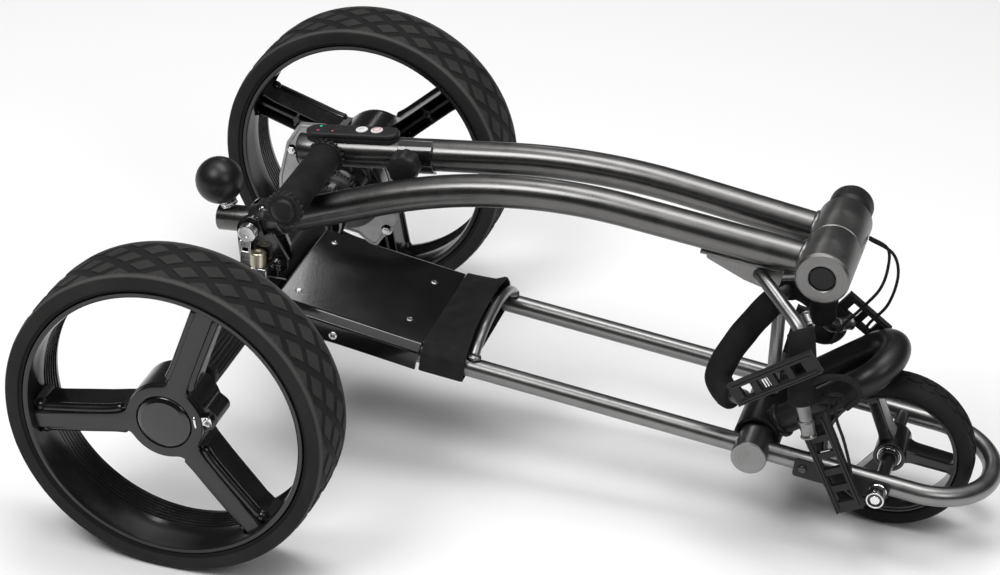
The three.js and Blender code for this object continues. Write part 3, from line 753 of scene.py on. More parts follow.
def star_plate(angles):
    """The wheel's flat front: a disc that flows with wide fillets into three arms, up to the rim."""
    low, high, steps, blend = 276.2, 282.6, 540, 5
    bore, hub, arm_half, tip = 25.4, 34.6, 7.9, 123.8

    def reach(turn, inset):
        offset = min(abs((turn - a + math.pi) % TURN - math.pi) for a in angles)
        arm = (arm_half - inset) / max(math.sin(offset), 1e-3) if offset < math.pi / 2 else 0
        return min(((hub - inset) ** blend + min(arm, tip) ** blend) ** (1 / blend), tip)

    rings = []
    for inset, height in ((0, low), (0, high - 1.6), (0.5, high - 0.5), (1.5, high)):
        outline = []
        for k in range(steps):
            turn = TURN * k / steps
            r = reach(turn, inset)
            outline.append(Vector((r * math.cos(turn), r * math.sin(turn), height)))
        rings.append(outline)
    rings += [circle(bore, height, steps) for height in (high, low)]
    return skin(rings, wrap=True)


def rim_barrel():
    """The drum's section: a flat bright-edged lip at both ends and a stepped inside."""
    middle_height, steps = 258, 7
    outer_half = [(127.2, 30.6), (126.6, 31.6), (123.6, 31.6), (122.6, 30.8)]
    for k in range(steps):
        radius, reach = 122.2 + 0.4 * k, 29 - 3.6 * k
        outer_half += [(radius, reach), (radius - 0.5, reach - 3.1)]
    near = [(r, middle_height + h) for r, h in outer_half]
    far = [(r, middle_height - h) for r, h in reversed(outer_half)]
    return near + far


def tyre_shade_and_highlight(spot):
    """The value that the tyre finish paints its light and shade from: 0, for painted shade, in the tread's
    grooves and on the bead next to the rim; 0.22 on the sidewall, which is darkened less; 0.75, for a painted
    highlight, on the tyre's rounded shoulders; 0.5 on the rest of the tread.
    """
    bead_radius, wall_radius, pad_end = 131.3, 142.4, 28.5
    radius = math.hypot(spot.x, spot.z)
    across = abs(abs(spot.y) - TYRE_MIDDLE)
    groove = REAR_RADIUS - crown(across, TREAD_HALF) - TREAD_DEPTH * 0.5
    if radius < bead_radius or (across < TREAD_HALF - SHOULDER - 0.1 and radius < groove):
        return 0.0
    if radius < wall_radius:
        return 0.22
    return 0.75 if across >= pad_end else 0.5


def rear_wheel(name, side):
    place = outward(side)
    shoulder = [(31.4, 143.4), (32.5, 142.8), (33.2, 141.6), (33.3, 139.6), (33.3, 131.6), (32.8, 131.0),
                (31.4, 130.8), (31.0, 128.2), (0, 128.0)]
    tyre = tread(REAR_RADIUS, TREAD_HALF, TREAD_COLUMNS, TREAD_ROWS, TREAD_STEP, TREAD_DEPTH, shoulder)
    shift = place @ Matrix.Translation((0, 0, TYRE_MIDDLE))
    # the tone paints shade into the tread's grooves and next to the rim, and a highlight on the tyre's
    # shoulders
    piece(name + "_tyre_rubber", name + "_tyre", "tyre", tyre.moved(shift), sharp=50, tone=tyre_shade_and_highlight)

    hub = [(8.5, 238), (14, 238), (14, 270), (31, 270), (32, 238), (35.4, 238), (35.4, 276.4), (25.2, 276.4),
           (8.5, 276.4)]
    rim = turned(rim_barrel(), place, 144, wrap=True) + turned(hub, place, 96, wrap=True)
    rim += star_plate([math.radians(a) for a in SPOKES[name]]).moved(place)
    rib = box((13, -1.3, 241), (34, 1.3, 270.5))
    for angle in SPOKES[name]:
        rim += spoke(angle, place)
        for turn in (60, 20):
            rim += rib.moved(place @ about_z(angle + turn))
    seat = place @ about_z(SPOKES[name][1] + 180)
    boss = rounded([(24, -13), (40, -10.5), (50, 0), (40, 10.5), (24, 13)], [2, 8, 9, 8, 2], 6)
    rim += prism(boss, 248, 276, seat)
    piece(name + "_wheel_rim", name + "_rim", "rim_plastic", rim, sharp=30)

    cap = [(0.3, 277.5), (24.4, 277.5)]
    cap += fillet([(24.4, 277.6), (24.4, 283), (20, 284.9), (9, 285.8), (0.3, 286)], 2.2, 5)
    piece(name + "_cap", name + "_hub_cap", "gloss_black", turned(cap, place, 96))

    def wire(corners, radius):
        return swept(laid(fillet(corners, radius, 4), seat), 1.2, 12, 0.4)

    clip = prism([(27, -3), (41, -4.5), (43, -2), (43, 2), (41, 4.5), (27, 3)], 279.5, 281, seat)
    clip += wire([(29, -5, 279), (29, -5, 283.5), (29, 5, 283.5), (29, 5, 279)], 2)
    clip += wire([(41, -3.6, 276), (41, -3.6, 282.4), (36, 0, 283), (41, 3.6, 282.4), (41, 3.6, 276)], 1.5)
    piece(name + "_release_clip", name + "_release_button", "chrome", clip, bevel=0.3)

    shaft = [(0.3, 205.2), (11, 205.2), (11, 209), (8, 210), (8, 214), (7.2, 214.5), (7.2, 216), (8, 216.5),
             (8, 260), (7, 262), (0.3, 262)]
    piece(name + "_shaft", name + "_drive_shaft", "chrome", turned(shaft, place, 48))


# ---- drive ----
def drive():
    """One motor on the left; the right half of the axle is a plain ribbed tube."""
    steps, ribs = 192, 24
    rings = []
    for y, radius, depth in ((-204.5, 14.4, 0), (-203.4, 15.4, 0), (-197, 15.4, 0), (-196, 14.9, 0.7),
                             (-92, 14.9, 0.7), (-91, 15.6, 0), (-60, 15.6, 0), (89.8, 15.6, 0)):
        outline = []
        for k in range(steps):
            turn, reach = TURN * k / steps, radius + depth * math.cos(ribs * TURN * k / steps)
            outline.append(Vector((reach * math.cos(turn), y, reach * math.sin(turn))))
        rings.append(outline)
    piece("axle_tube", "axle_housing", "satin_black", skin(rings), sharp=50)
    collars = ring(14.8, 15.95, -100, -90, ALONG_Y) + ring(14.8, 15.95, 78, 88, ALONG_Y)
    detail("axle_tube_collars", "axle_housing", "gunmetal", collars)

    place = outward(1)
    body = [(0.4, 90.6), (21, 90.6), (24, 92), (24.9, 95), (24.9, 136), (24.2, 137), (24.2, 143), (24.9, 144),
            (24.9, 156), (25.4, 160), (33, 164), (38, 165.4)]
    body += fillet([(38, 165.4), (42.8, 166), (42.8, 186), (38, 190)], [0, 5, 6, 0], 8)[1:]
    body += [(38, 194.4), (0.4, 194.4)]
    piece("drive_motor", "left_motor", "gloss_black", turned(body, place, 120), sharp=40)

    bands = turned([(24.3, 139.2), (25.1, 139.4), (25.1, 140.6), (24.3, 140.8)], place, 96, wrap=True)
    for start in (116, 146):
        bands += spun(lambda turn: box((24.3, -0.8, start), (25.2, 0.8, start + 8), turn), 44, place)
        bands += ring(24.2, 24.8, start - 0.6, start + 8.6, place, 0.2)
    detail("motor_bands", "left_motor", "satin_steel", bands)

    corners = [(-55, 49), (-30, 51), (10, 46), (34, 28), (42, 0), (36, -24), (48, -38), (44, -52), (34, -62),
               (26, -75), (8, -62), (-20, -58), (-52, -48), (-76, -28), (-76, -12), (-68, 27)]
    outline = rounded(corners, [6, 20, 20, 12, 14, 8, 6, 5, 5, 6, 8, 20, 14, 8, 8, 10], 5)
    case = prism(outline, -201.5, -195.2, UPRIGHT)
    case += prism([p * 0.955 for p in outline], -204.3, -201, UPRIGHT)
    lip = [(p.x * 0.97, 195.4, p.y * 0.97) for p in outline]
    case += swept(lip + lip[:2], 1.4, 10, 0.2)
    piece("gearbox_casting", "left_gearbox_plate", "casting", case, bevel=0.9)

    bolts = Shape()
    for x, z, r in ((-62, 20, 4.2), (37.6, -52, 4.4), (-66, -20, 3.6), (-40, 42, 3.4), (30, 20, 3.4)):
        bolts += hex_head((x, 195.2, z), (0, -1, 0), r, 3.4)
    detail("gearbox_bolts", "left_gearbox_plate", "chrome", bolts, bevel=0.2)


# ---- lower frame ----
STOP_ARCH = ((-TUBE_Y, 12.8), (-52, 21), (-34, 30), (-4, 34), (20, 31), (45, 23), (TUBE_Y, 12.8))


def weld_blobs():
    """Flattened beads where the stop's arch stands on the two runs."""
    shape = Shape()
    for side in (-1, 1):
        spot = Vector((STOP_S, side * (TUBE_Y - 0.6), 11.4))
        lump = ball(6.2, spot, 28, 0.52)
        shape += lump.bent(lambda p: p + (p - spot) * 0.07 * math.sin(3 * p.x + 2 * p.y)).moved(LOWER)
    return shape


def lower_frame():
    start = 17.8
    corners = [(start, -TUBE_Y, 0), (NOSE_S, -TUBE_Y, 0), (NOSE_S, TUBE_Y, 0), (start, TUBE_Y, 0)]
    path = dense(laid(fillet(corners, TUBE_Y - 0.01, 48), LOWER), 12)
    piece("lower_tube", "lower_frame_tube", "stainless", swept(path, TUBE_RADIUS, 40))

    cross = LOWER @ facing((CROSS_S, 0, 0), (0, 1, 0))
    profile = fillet([(0.3, -82), (16, -82), (16, 82), (0.3, 82)], [0, 1.4, 1.4, 0], 5)
    piece("cross_bar", "cross_tube", "stainless", turned(profile, cross, 64))

    detail("stop_welds", "stop_bar", "stainless", weld_blobs())
    arch = laid(spline([(STOP_S, y, z) for y, z in STOP_ARCH], 10), LOWER)
    piece("stop_hoop", "stop_bar", "stainless", swept(arch, 4.5))

    outline = rounded([(508, -10), (590, -10), (594, -6), (594, 8), (508, 8)], 3)
    for name, side in (("right", -1), ("left", 1)):
        node = name + "_axle_bracket"
        shape = prism(outline, -1.35, 1.35, LOWER @ upright(side * 72.3))
        piece(name + "_bracket", node, "black_plastic", shape, bevel=0.5)
        screw = socket_screw(LOWER @ Vector((516, side * 73.6, -0.5)), (0, side, 0), 4.0, 2.2)
        detail(name + "_bracket_screw", node, "black_paint", screw)


# ---- battery tray ----
def battery_tray():
    half, shoulder, top, foot, sheet = 75.4, 67, 15.5, -9, 2.4

    def profile(side, edge, flat, drop, roof, radii):
        """Half of a section, from the foot to the flat top, and the other half back down."""
        run = [(-edge, foot), (-edge, top - drop), (-flat, roof)]
        run += [(-y, z) for y, z in reversed(run)]
        return fillet([(side * y, z) for y, z in run], radii, 6)

    section = profile(1, half, shoulder, 6, top, [0, 3, 6, 6, 3, 0])
    section += profile(-1, half - sheet, shoulder - 1, 7.2, top - sheet, [0, 2, 4, 4, 2, 0])
    rings = [laid([(x, *spot) for spot in section], TRAY) for x in range(0, 141, 10)]
    piece("tray", "battery_tray", "gloss_black", skin(rings), bevel=0.5)
    edge = box((-1.2, -63, 11.0), (1.6, 63, 15.2), TRAY)
    detail("tray_rear_strip", "battery_tray", "satin_steel", edge, bevel=0.4)

    screws = Shape()
    for x, y in ((118, -36), (118, 36), (14, -48), (14, 48)):
        screws += socket_screw(TRAY @ Vector((x, y, top - 0.4)), TRAY.to_3x3() @ Vector((0, 0, 1)), 3.4, 1.3)
    for side in (-1, 1):
        screws += socket_screw(TRAY @ Vector((60, side * half, -1)), (0, side, 0), 4.0, 2.0)
    detail("tray_screws", "battery_tray", "chrome", screws)

    shape = box((24, -50, -24), (150, 50, 9.6), LOWER)
    for k in range(9):
        shape += box((34 + 12.6 * k, -44, -25.4), (38 + 12.6 * k, 44, -23.5), LOWER)
    piece("controller_box", "control_box", "black_plastic", shape, bevel=1.6)

    cables = Shape()
    for k, y in enumerate((-34, -28, 26, 32)):
        run = [(60, y, -12), (24, y, -12), (8, y * 1.3, -16 + k), (-8, y * 1.9, -12), (-4, y * 2.6, 0)]
        cables += swept(spline(laid(run, LOWER), 10), 2.2, 14, 1.0)
    detail("motor_cables", "control_box", "black_plastic", cables)


def battery_strap():
    """Webbing round both tubes: flat behind the tray, and drawn up to lean on the stop's arch in front."""
    low = ((74, 8), (66, 17.4), (45, 18.4), (20, 18.8), (0, 18.95))
    high = ((74, 8), (66, 20), (50, 34), (25, 39), (0, 40))
    thickness, worn_edge, points_round = 2.3, 0.35, 180
    centre = Vector((0, 4, 0))

    def loop(share):
        """The strap's outline in y and z, from low at share 0 to high at share 1."""
        crest = [(a[0] + (b[0] - a[0]) * share, a[1] + (b[1] - a[1]) * share ** 1.3)
                 for a, b in zip(low, high)]
        points = [(-73.9, -12.5)] + [(-y, z) for y, z in crest] + crest[-2::-1] + [(73.9, -12.5)]
        radii = [4, 4, 7, 12, 14, 20, 14, 12, 7, 4, 4]
        return even(fillet([(y, z, 0) for y, z in points], radii, 5, closed=True), points_round)

    stations = [160.4 + 41.2 * k / 16 for k in range(17)]
    outer, inner = [], []
    for x in stations:
        outline = loop(max(0.0, min(1.0, (x - 164) / 36)))
        edge = worn_edge if x in (stations[0], stations[-1]) else 0.0
        for rows, depth in ((outer, edge), (inner, thickness - edge)):
            row = []
            for k, p in enumerate(outline):
                tangent = outline[(k + 1) % points_round] - outline[k - 1]
                normal = Vector((tangent.y, -tangent.x, 0)).normalized()
                if normal.dot(p - centre) < 0:
                    normal = -normal
                spot = p - normal * depth
                row.append(LOWER @ Vector((x, spot.x, spot.y)))
            rows.append(row)
    piece("battery_band", "battery_strap", "webbing", skin(outer + inner[::-1], wrap=True), sharp=60)


# ---- bag rest ----
def bottom_rest():
    rise = math.radians(38) + TILT
    leg, reach, radius = 33, 136.5, 13.5

    def along(distance, y):
        return LOWER @ Vector((CROSS_S + distance * math.cos(rise), y, distance * math.sin(rise)))

    path = fillet([along(12, -leg), along(reach, -leg), along(reach, leg), along(12, leg)], leg - 0.01, 32)
    shape = swept(dense(path, 8), radius, 40)
    shape += ring(16.7, 21, -47, 47, LOWER @ facing((CROSS_S, 0, 0), (0, 1, 0)), 1.6)
    for side in (-1, 1):
        shape += swept([along(21, side * leg), along(27, side * leg)], radius + 2.2, 40, 2.0)
    piece("bag_rest", "bottom_rest", "satin_black", shape, sharp=50)


# ---- front wheel ----
def front_wheel():
    place = Matrix.Translation(FRONT) @ outward(-1)
    shoulder = [(13.6, 72.0), (15.6, 70.6), (17.0, 68.6), (17.4, 66), (17.0, 63), (15.6, 61.2), (14.4, 61),
                (0, 61)]
    tyre = tread(FRONT_RADIUS, 12, 36, 2, 6, 1.2, shoulder, 0.2)
    piece("front_tyre_rubber", "front_tyre", "tyre", tyre.moved(place), sharp=50)

    half = [(59.4, 14.5), (58, 14.2), (57.6, 12.4), (56.2, 12), (55.6, 4)]
    section = half + [(r, -h) for r, h in reversed(half)] + [(60.4, -14), (60.4, 14)]
    rim = turned(section, place, 128, wrap=True)
    hub = rounded([(7.2, -10.8), (11.3, -10.8), (11.3, -19), (14.5, -19), (14.5, 19), (11.3, 19),
                   (11.3, 10.8), (7.2, 10.8)], 0.7, 3)
    rim += turned(hub, place, 64, wrap=True)
    rings = []
    for reach, wide, deep in ((12, 7.2, 12), (18, 6.0, 10.5), (26, 5.4, 9.4), (50, 5.2, 9), (55, 6.0, 10),
                              (57.4, 8.0, 12)):
        outline = rounded([(-wide, -deep), (wide, -deep), (wide, deep), (-wide, deep)], 1.4)
        rings.append([Vector((reach, *spot)) for spot in outline])
    arm = skin(rings)
    for side in (-1, 1):
        for edge in (-1, 1):
            arm += swept([(16, edge * 4.6, side * 9.2), (54, edge * 4.1, side * 8.8)], 1.1, 8, 0.5)
    for angle in (113, 233, 353):
        rim += arm.moved(place @ about_z(angle))
    piece("front_wheel_rim", "front_rim", "rim_plastic", rim, sharp=35)

    profile = rounded([(6.7, 11.5), (11, 11.5), (11, 18), (9.8, 18), (9.4, 17.2), (8.4, 17.2), (8, 18),
                       (6.7, 18)], 0.3, 3)
    for name, side in (("right", 1), ("left", -1)):
        turn = place @ Matrix.Scale(side, 4, (0, 0, 1))
        piece(name + "_bearing", "front_bearing_" + name, "chrome", turned(profile, turn, 64, wrap=True))

    axle = turned(fillet([(0.3, -74.3), (6, -74.3), (6, 89.8), (0.3, 89.8)], [0, 0.6, 0.6, 0], 3), place, 40)
    axle += ring(6.1, 9, 19.4, 24, place) + ring(6.1, 9, -24, -19.4, place)
    piece("front_spindle", "front_axle", "black_paint", axle)
    profile = rounded([(6.2, 74.4), (7.9, 74.4), (7.9, 77), (7.2, 77.6), (7.2, 79), (7.9, 79.6), (7.9, 91.8),
                       (6.6, 91.8), (6.2, 90.4)], 0.4, 3)
    nut = turned(profile, place, 48, wrap=True) + disc(4.4, 88.6, 91.4, place, 0.8, 32)
    piece("front_nut", "front_axle_nut", "chrome", nut)


# ---- folding hinge ----
def folding_hinge():
    cheek_y, cheek_radius = 18, 13
    arc = [(FOLD.x + cheek_radius * math.cos(a), FOLD.z + cheek_radius * math.sin(a))
           for a in [math.pi - (math.pi - 0.9) * k / 16 for k in range(17)]]
    outline = [(-20, 19)] + arc + [(16, 30), (16, 19)]
    for name, y in (("right", POST_Y - cheek_y), ("left", POST_Y + cheek_y)):
        cheek = prism(outline, -2.7, 2.7, upright(y))
        piece("hinge_cheek_" + name, "hinge_plate_" + name, "gloss_black", cheek, bevel=0.9)

    brace = rounded([(2, 62), (11, 66), (26, 41), (26, 28), (6, 28)], [3, 3, 4, 4, 3])
    shape = prism(brace, -2.2, 2.2, upright(POST_Y - 18.6))
    detail("hinge_brace", "hinge_plate_right", "gloss_black", shape, bevel=0.9)
    face = POST_Y - 21  # the near side of the hinge
    edge = swept([(12.4, face, 65.0), (26.6, face, 41.2)], 0.7, 10, 0.3)
    edge += swept([(-19, face + 0.1, 20.2), (24, face + 0.1, 20.2)], 0.8, 10, 0.3)
    detail("brace_edges", "hinge_plate_right", "satin_steel", edge)

    pin = facing((FOLD.x, POST_Y, FOLD.z), (0, -1, 0))
    profile = [(0.3, 21), (7.4, 21), (8.3, 21.6)]
    for k in range(4):
        profile += [(r, z + 1.9 * k) for r, z in ((8.3, 22.6), (7.5, 23.0), (7.5, 23.6), (8.3, 24.0))]
    profile += [(8.2, 29.4), (7.2, 30), (3.4, 30), (3.0, 28.8), (0.3, 28.8)]
    shape = disc(5, -22, 22, pin, 1.0, 40) + turned(profile, pin, 64)
    shape += hex_head((FOLD.x, POST_Y + 21.5, FOLD.z), (0, 1, 0), 6.5, 4)
    piece("fold_pin", "hinge_pin", "chrome", shape, sharp=30)

    window = (1, 1)
    hanger = cells([-19, -16.5, -10.5, -8], [25, 45, 49, 51.5, 56], lambda i, j: (i, j) != window,
                   -2.6, 2.6, upright(face - 2.7))
    hanger += box((-19.6, face - 8.4, 24), (-7.4, face, 28))
    shelf = rounded([(-8.5, 21.4), (-8.5, 34.2), (9.8, 34.2), (9.8, 21.4)], 1.6)
    hanger += prism(shelf, -7, 6.8, upright(face - 7))
    piece("latch_bar", "latch_block", "chrome", hanger, bevel=0.7)

    nut = place_of("latch_nut")
    low, high = span_of("latch_nut")
    stand = facing((nut.x, nut.y, low.z), (0, 0, 1))
    tall = high.z - low.z
    profile = fillet([(0.3, 0), (6.6, 0), (6.9, 1.2), (6.9, tall - 1.4), (6.0, tall), (3.4, tall),
                      (3.2, tall - 1), (0.3, tall - 1)], [0, 0.3, 0.3, 0.8, 0.8, 0.2, 0.2, 0], 3)
    shape = turned(profile, stand, 60)
    shape += spun(lambda turn: box((6.4, -0.45, 1.6), (7.3, 0.45, tall - 1.8), turn), 26, stand)
    piece("thumb_nut", "latch_nut", "brass", shape, sharp=30)

    dome = facing((15.3, POST_Y - 20.8, 35.5), (0, -1, 0))
    profile = fillet([(0.3, 0), (6.4, 0), (6.4, 2.2), (4.8, 5.6), (1.8, 6.8), (0.3, 6.9)],
                     [0, 0.4, 0.8, 2.5, 2, 0], 5)
    detail("hinge_bolt_dome", "hinge_plate_right", "gloss_black", turned(profile, dome, 40))


# ---- cradle rods ----
UPPER_RIGHT = spline([(452, POST_Y, 98), (458, -42, 100), (479, -62, 91), (500, -82, 79), (504.5, -88, 62),
                      (507, -91, 39), (510, -93.5, 15), (515, -95, 0), (519, -97, -15.5)])
UPPER_LEFT = spline([(452, POST_Y, 98), (470, -16, 93), (488, 2, 87), (502, 17, 79), (504, 22, 62),
                     (504, 22, 40), (511, 29, 25), (526, 45, 22)])
STEM = (468, 0, 62)
LOWER_RIGHT = spline([STEM, (462, -20, 63), (447, -35, 44), (434, -48, 22), (429, -58, 4),
                      (440, -68, -5), (456, -82, 3), (457, -101, 15)])
LOWER_LEFT = spline([STEM, (474, 20, 62), (484, 44, 47), (501, 57, 25), (509, 63, 4),
                     (500, 70, -7), (484, 80, -6), (479, 87, -3)])


def sleeve(rod, start, end):
    """Foam over part of a rod, from one curve interval to another, with a slightly uneven skin."""
    path = rod[round(start * 12):round(end * 12) + 1]
    shape = swept(path, FOAM_RADIUS, 32, 2.4, ROD_RADIUS + 0.2)
    return shape.bent(lambda p: p + 0.22 * Vector((math.sin(p.z * 0.21 + p.y * 0.13),
                                                   math.sin(p.x * 0.17 + p.z * 0.11),
                                                   math.sin(p.y * 0.19 + p.x * 0.09))))


def tip(rod, length=16):
    """The bright rolled end of a cradle rod."""
    end, before = rod[-1], rod[-4]
    along = (end - before).normalized()
    profile = fillet([(0.3, 0), (7, 0), (7, 3), (6.2, 4.4), (6.2, length - 3.4), (7.1, length - 1.4),
                      (7.1, length), (4.6, length), (4.2, length - 2.2), (0.3, length - 2.2)], 0.6, 3)
    return turned(profile, facing(end - along * length, along), 40)


def cradle(level, right, left, stem=Shape()):
    """Two rods that start at one point, bent out of one bar, with what they stand on."""
    rods = stem + swept(right[::-1] + left[1:], ROD_RADIUS, 24) + tip(right) + tip(left)
    piece(level + "_cradle", level + "_cradle_rod", "stainless", rods)


# ---- post ----
def post():
    line = fillet([(-6, POST_Y, 64.2), (217.5, POST_Y, 150.2), (BARREL.x - 18, POST_Y, 119.6)],
                  [0, 640, 0], 48)
    shape = swept(dense(line), POST_RADIUS, 48)
    neck = fillet([(0.3, -42), (12, -42), (12, -2), (14.2, 2), (14.2, 6), (0.3, 6)], [0, 1.2, 3, 2, 1, 0], 4)
    shape += turned(neck, facing((-6, POST_Y, 65.2), (48, 0, 4)), 48)
    shape += swept([(2, POST_Y, 67.3), (14, POST_Y, 71.9)], POST_RADIUS + 1.0, 48)
    piece("folding_post", "post_tube", "gunmetal", shape)
    clamp = swept([(-13, POST_Y, 62.5), (3, POST_Y, 68.5)], POST_RADIUS + 1.4, 48, 1.4)
    lump = fillet([(-12, 74), (-10, 84), (0, 87), (4, 80)], 3, 4, closed=True)
    clamp += prism(lump, -7, 7, upright(POST_Y))
    detail("post_clamp", "post_tube", "satin_black", clamp, bevel=0.8)
    screw = socket_screw((-4, POST_Y - 6.6, 80.5), (0, -1, 0), 3.0, 1.8)
    detail("post_clamp_screw", "post_tube", "chrome", screw)

    barrel = facing(BARREL, (0, -1, 0))
    seam, outer = -BARREL_SEAM + 0.2, -BARREL_NEAR
    profile = rounded([(6.8, seam), (23.2, seam), (24, seam + 0.8), (24, outer - 2.4), (23.4, outer - 2.0),
                       (22.0, outer), (12.6, outer), (11.8, outer - 0.8), (11.8, outer - 7),
                       (6.8, outer - 7)],
                      [0.3, 0.2, 0.2, 0.2, 0.2, 0.6, 0.3, 0.2, 0.2, 0.2])
    piece("barrel_near", "post_knuckle", "satin_steel", turned(profile, barrel, 96, wrap=True), sharp=25)
    detail("barrel_weld_near", "post_knuckle", "satin_steel", weld_ring(POST_Y, -3.2))
    cap = fillet([(0.3, 61.4), (11, 61.4), (11, 66.4), (9.6, 67), (0.3, 67)], [0, 0.2, 0.5, 1.0, 0], 4)
    piece("barrel_plug", "knuckle_plug", "black_plastic", turned(cap, barrel, 56))
    rod_end = BARREL_FAR - 0.4
    rod = fillet([(0.3, -60.6), (6, -60.6), (6, rod_end), (0.3, rod_end)], [0, 0.6, 0.6, 0], 3)
    piece("hinge_rod", "barrel_pin", "chrome", turned(rod, facing(BARREL, (0, 1, 0)), 40))

    cradle("upper", UPPER_RIGHT, UPPER_LEFT)
    for name, rod, start, end in (("right", UPPER_RIGHT, 3, 6), ("left", UPPER_LEFT, 10 / 3, 16 / 3)):
        piece("upper_sleeve_" + name, "upper_foam_" + name, "foam", sleeve(rod, start, end))

    gusset = rounded([(391, 113), (474, 106), (471, 90), (458, 86), (440, 91)], [3, 3, 5, 8, 10])
    shape = prism(gusset, -3, 3, upright(POST_Y))
    for side in (-1, 1):
        seam = [(400 + 7 * k, POST_Y + side * 3.4, 112.6 - 0.62 * k) for k in range(11)]
        shape += bead(seam, 2.2, side)
    piece("cradle_gusset", "upper_cradle_bracket", "satin_steel", shape, sharp=30)


def ball_knob():
    foot, centre, radius = Vector((-39, POST_Y, 77.3)), Vector((-48, POST_Y, 99)), 21.8
    lean = facing(foot, centre - foot)
    size = (centre - foot).length
    neck = fillet([(0.3, -2), (8.0, -2), (8.0, -0.8), (7.0, -0.6), (7.0, 0.2), (7.8, 0.4), (7.8, 1.6),
                   (6.8, 1.9), (6.8, 4), (0.3, 4)], 0.15, 2)
    detail("ball_neck", "post_lock_knob", "chrome", turned(neck, lean, 48))
    arc = [(radius * math.cos(a), size + radius * math.sin(a))
           for a in [-1.18 + (math.pi / 2 + 1.17) * k / 28 for k in range(28)]]
    profile = [(0.3, 4.5), (7.4, 4.5), (7.6, 5.4)] + arc + [(0.3, size + radius)]
    piece("ball_knob", "post_lock_knob", "satin_black", turned(profile, lean, 72), sharp=60)


def weld_ring(y, height):
    """The rippled weld where a curved tube meets the barrel's round back."""
    points = []
    for across, rise, _ in circle(POST_RADIUS, 0, 64):
        drop = height + rise
        reach = math.sqrt(max(BARREL_RADIUS ** 2 - drop ** 2, 4.0))
        points.append(Vector((BARREL.x - reach, y + across, BARREL.z + drop)))
    shape = swept(points + points[:2], 2.5, 12, 0.2)
    return shape.bent(lambda p: p - Vector((0.35, 0, 0)) * math.sin(p.y * 2.3 + p.z * 2.9))


# ---- handle ----
def handle():
    crest = 288.5
    rise = HANDLE_START.z + HANDLE_SLOPE * (crest - HANDLE_START.x)
    line = fillet([HANDLE_START, (crest, HANDLE_Y, rise), (BARREL.x - 18, HANDLE_Y, 116.6)],
                  [0, 600, 0], 48)
    piece("curved_handle", "handle_tube", "gunmetal", swept(dense(line), POST_RADIUS, 48))
    end = HANDLE_TOP @ facing((0, 0, 0), (1, 0, 0))
    mouth = ring(9.5, 14.9, -0.9, 0.6, end, 0.4) + disc(10, -0.2, 3, end)
    detail("handle_end_ring", "handle_tube", "black_plastic", mouth)

    barrel = facing(BARREL, (0, 1, 0))
    seam, outer = BARREL_SEAM + 0.5, BARREL_FAR
    profile = rounded([(6.8, seam), (23.2, seam), (24, seam + 0.8), (24, outer - 1.2), (22.8, outer),
                       (6.8, outer)], [0.3, 0.2, 0.2, 0.3, 0.3, 0.3])
    piece("barrel_far", "handle_knuckle", "satin_steel", turned(profile, barrel, 96, wrap=True), sharp=25)
    detail("barrel_weld_far", "handle_knuckle", "satin_steel", weld_ring(HANDLE_Y - 2, -5.6))

    profile = [(0.3, 43.5)]
    profile += fillet([(15, 43.5), (16, 50), (19.9, 58), (19.9, 74), (16, 82), (5, 85.6), (0.3, 86)],
                      [0, 3, 4, 5, 5, 4, 0], 6)
    piece("hinge_thumbwheel", "hinge_knob", "black_plastic", turned(profile, barrel, 80), sharp=50)


def grip():
    spot = place_of("grip_foam")
    near, far = [corner.y for corner in span_of("grip_foam")]
    centre = facing((spot.x, 0, spot.z), (0, 1, 0))
    start, stop = near + 9.6, far - 6
    profile = fillet([(6, start), (14.7, start), (14.8, stop), (6, stop)], [0, 1.5, 1.5, 0], 5)
    foam_body = turned([(0.4, start)] + profile + [(0.4, stop)], centre, 72)
    piece("grip_sleeve", "grip_foam", "foam", foam_body)
    collars = Shape()
    tooth = [(14.4, -1.7), (17.4, -0.6), (17.4, 0.6), (14.4, 1.7)]
    for start, stop in ((near + 4.6, near + 9.8), (far - 5.8, far - 0.4)):
        band = rounded([(8, start), (15.4, start), (15.4, stop), (8, stop)], 0.6, 3)
        collars += turned(band, centre, 64, wrap=True)
        collars += spun(lambda turn: prism(tooth, start + 0.6, stop - 0.5, turn), 20, centre)
    cap = fillet([(0.3, near), (6, near + 0.2), (10.2, near + 1.6), (11.4, near + 4.4), (11.4, near + 6)],
                 [0, 3, 3, 2, 0], 5)
    collars += turned(cap + [(0.3, near + 6)], centre, 56)
    detail("grip_collars", "grip_foam", "black_plastic", collars, sharp=30)


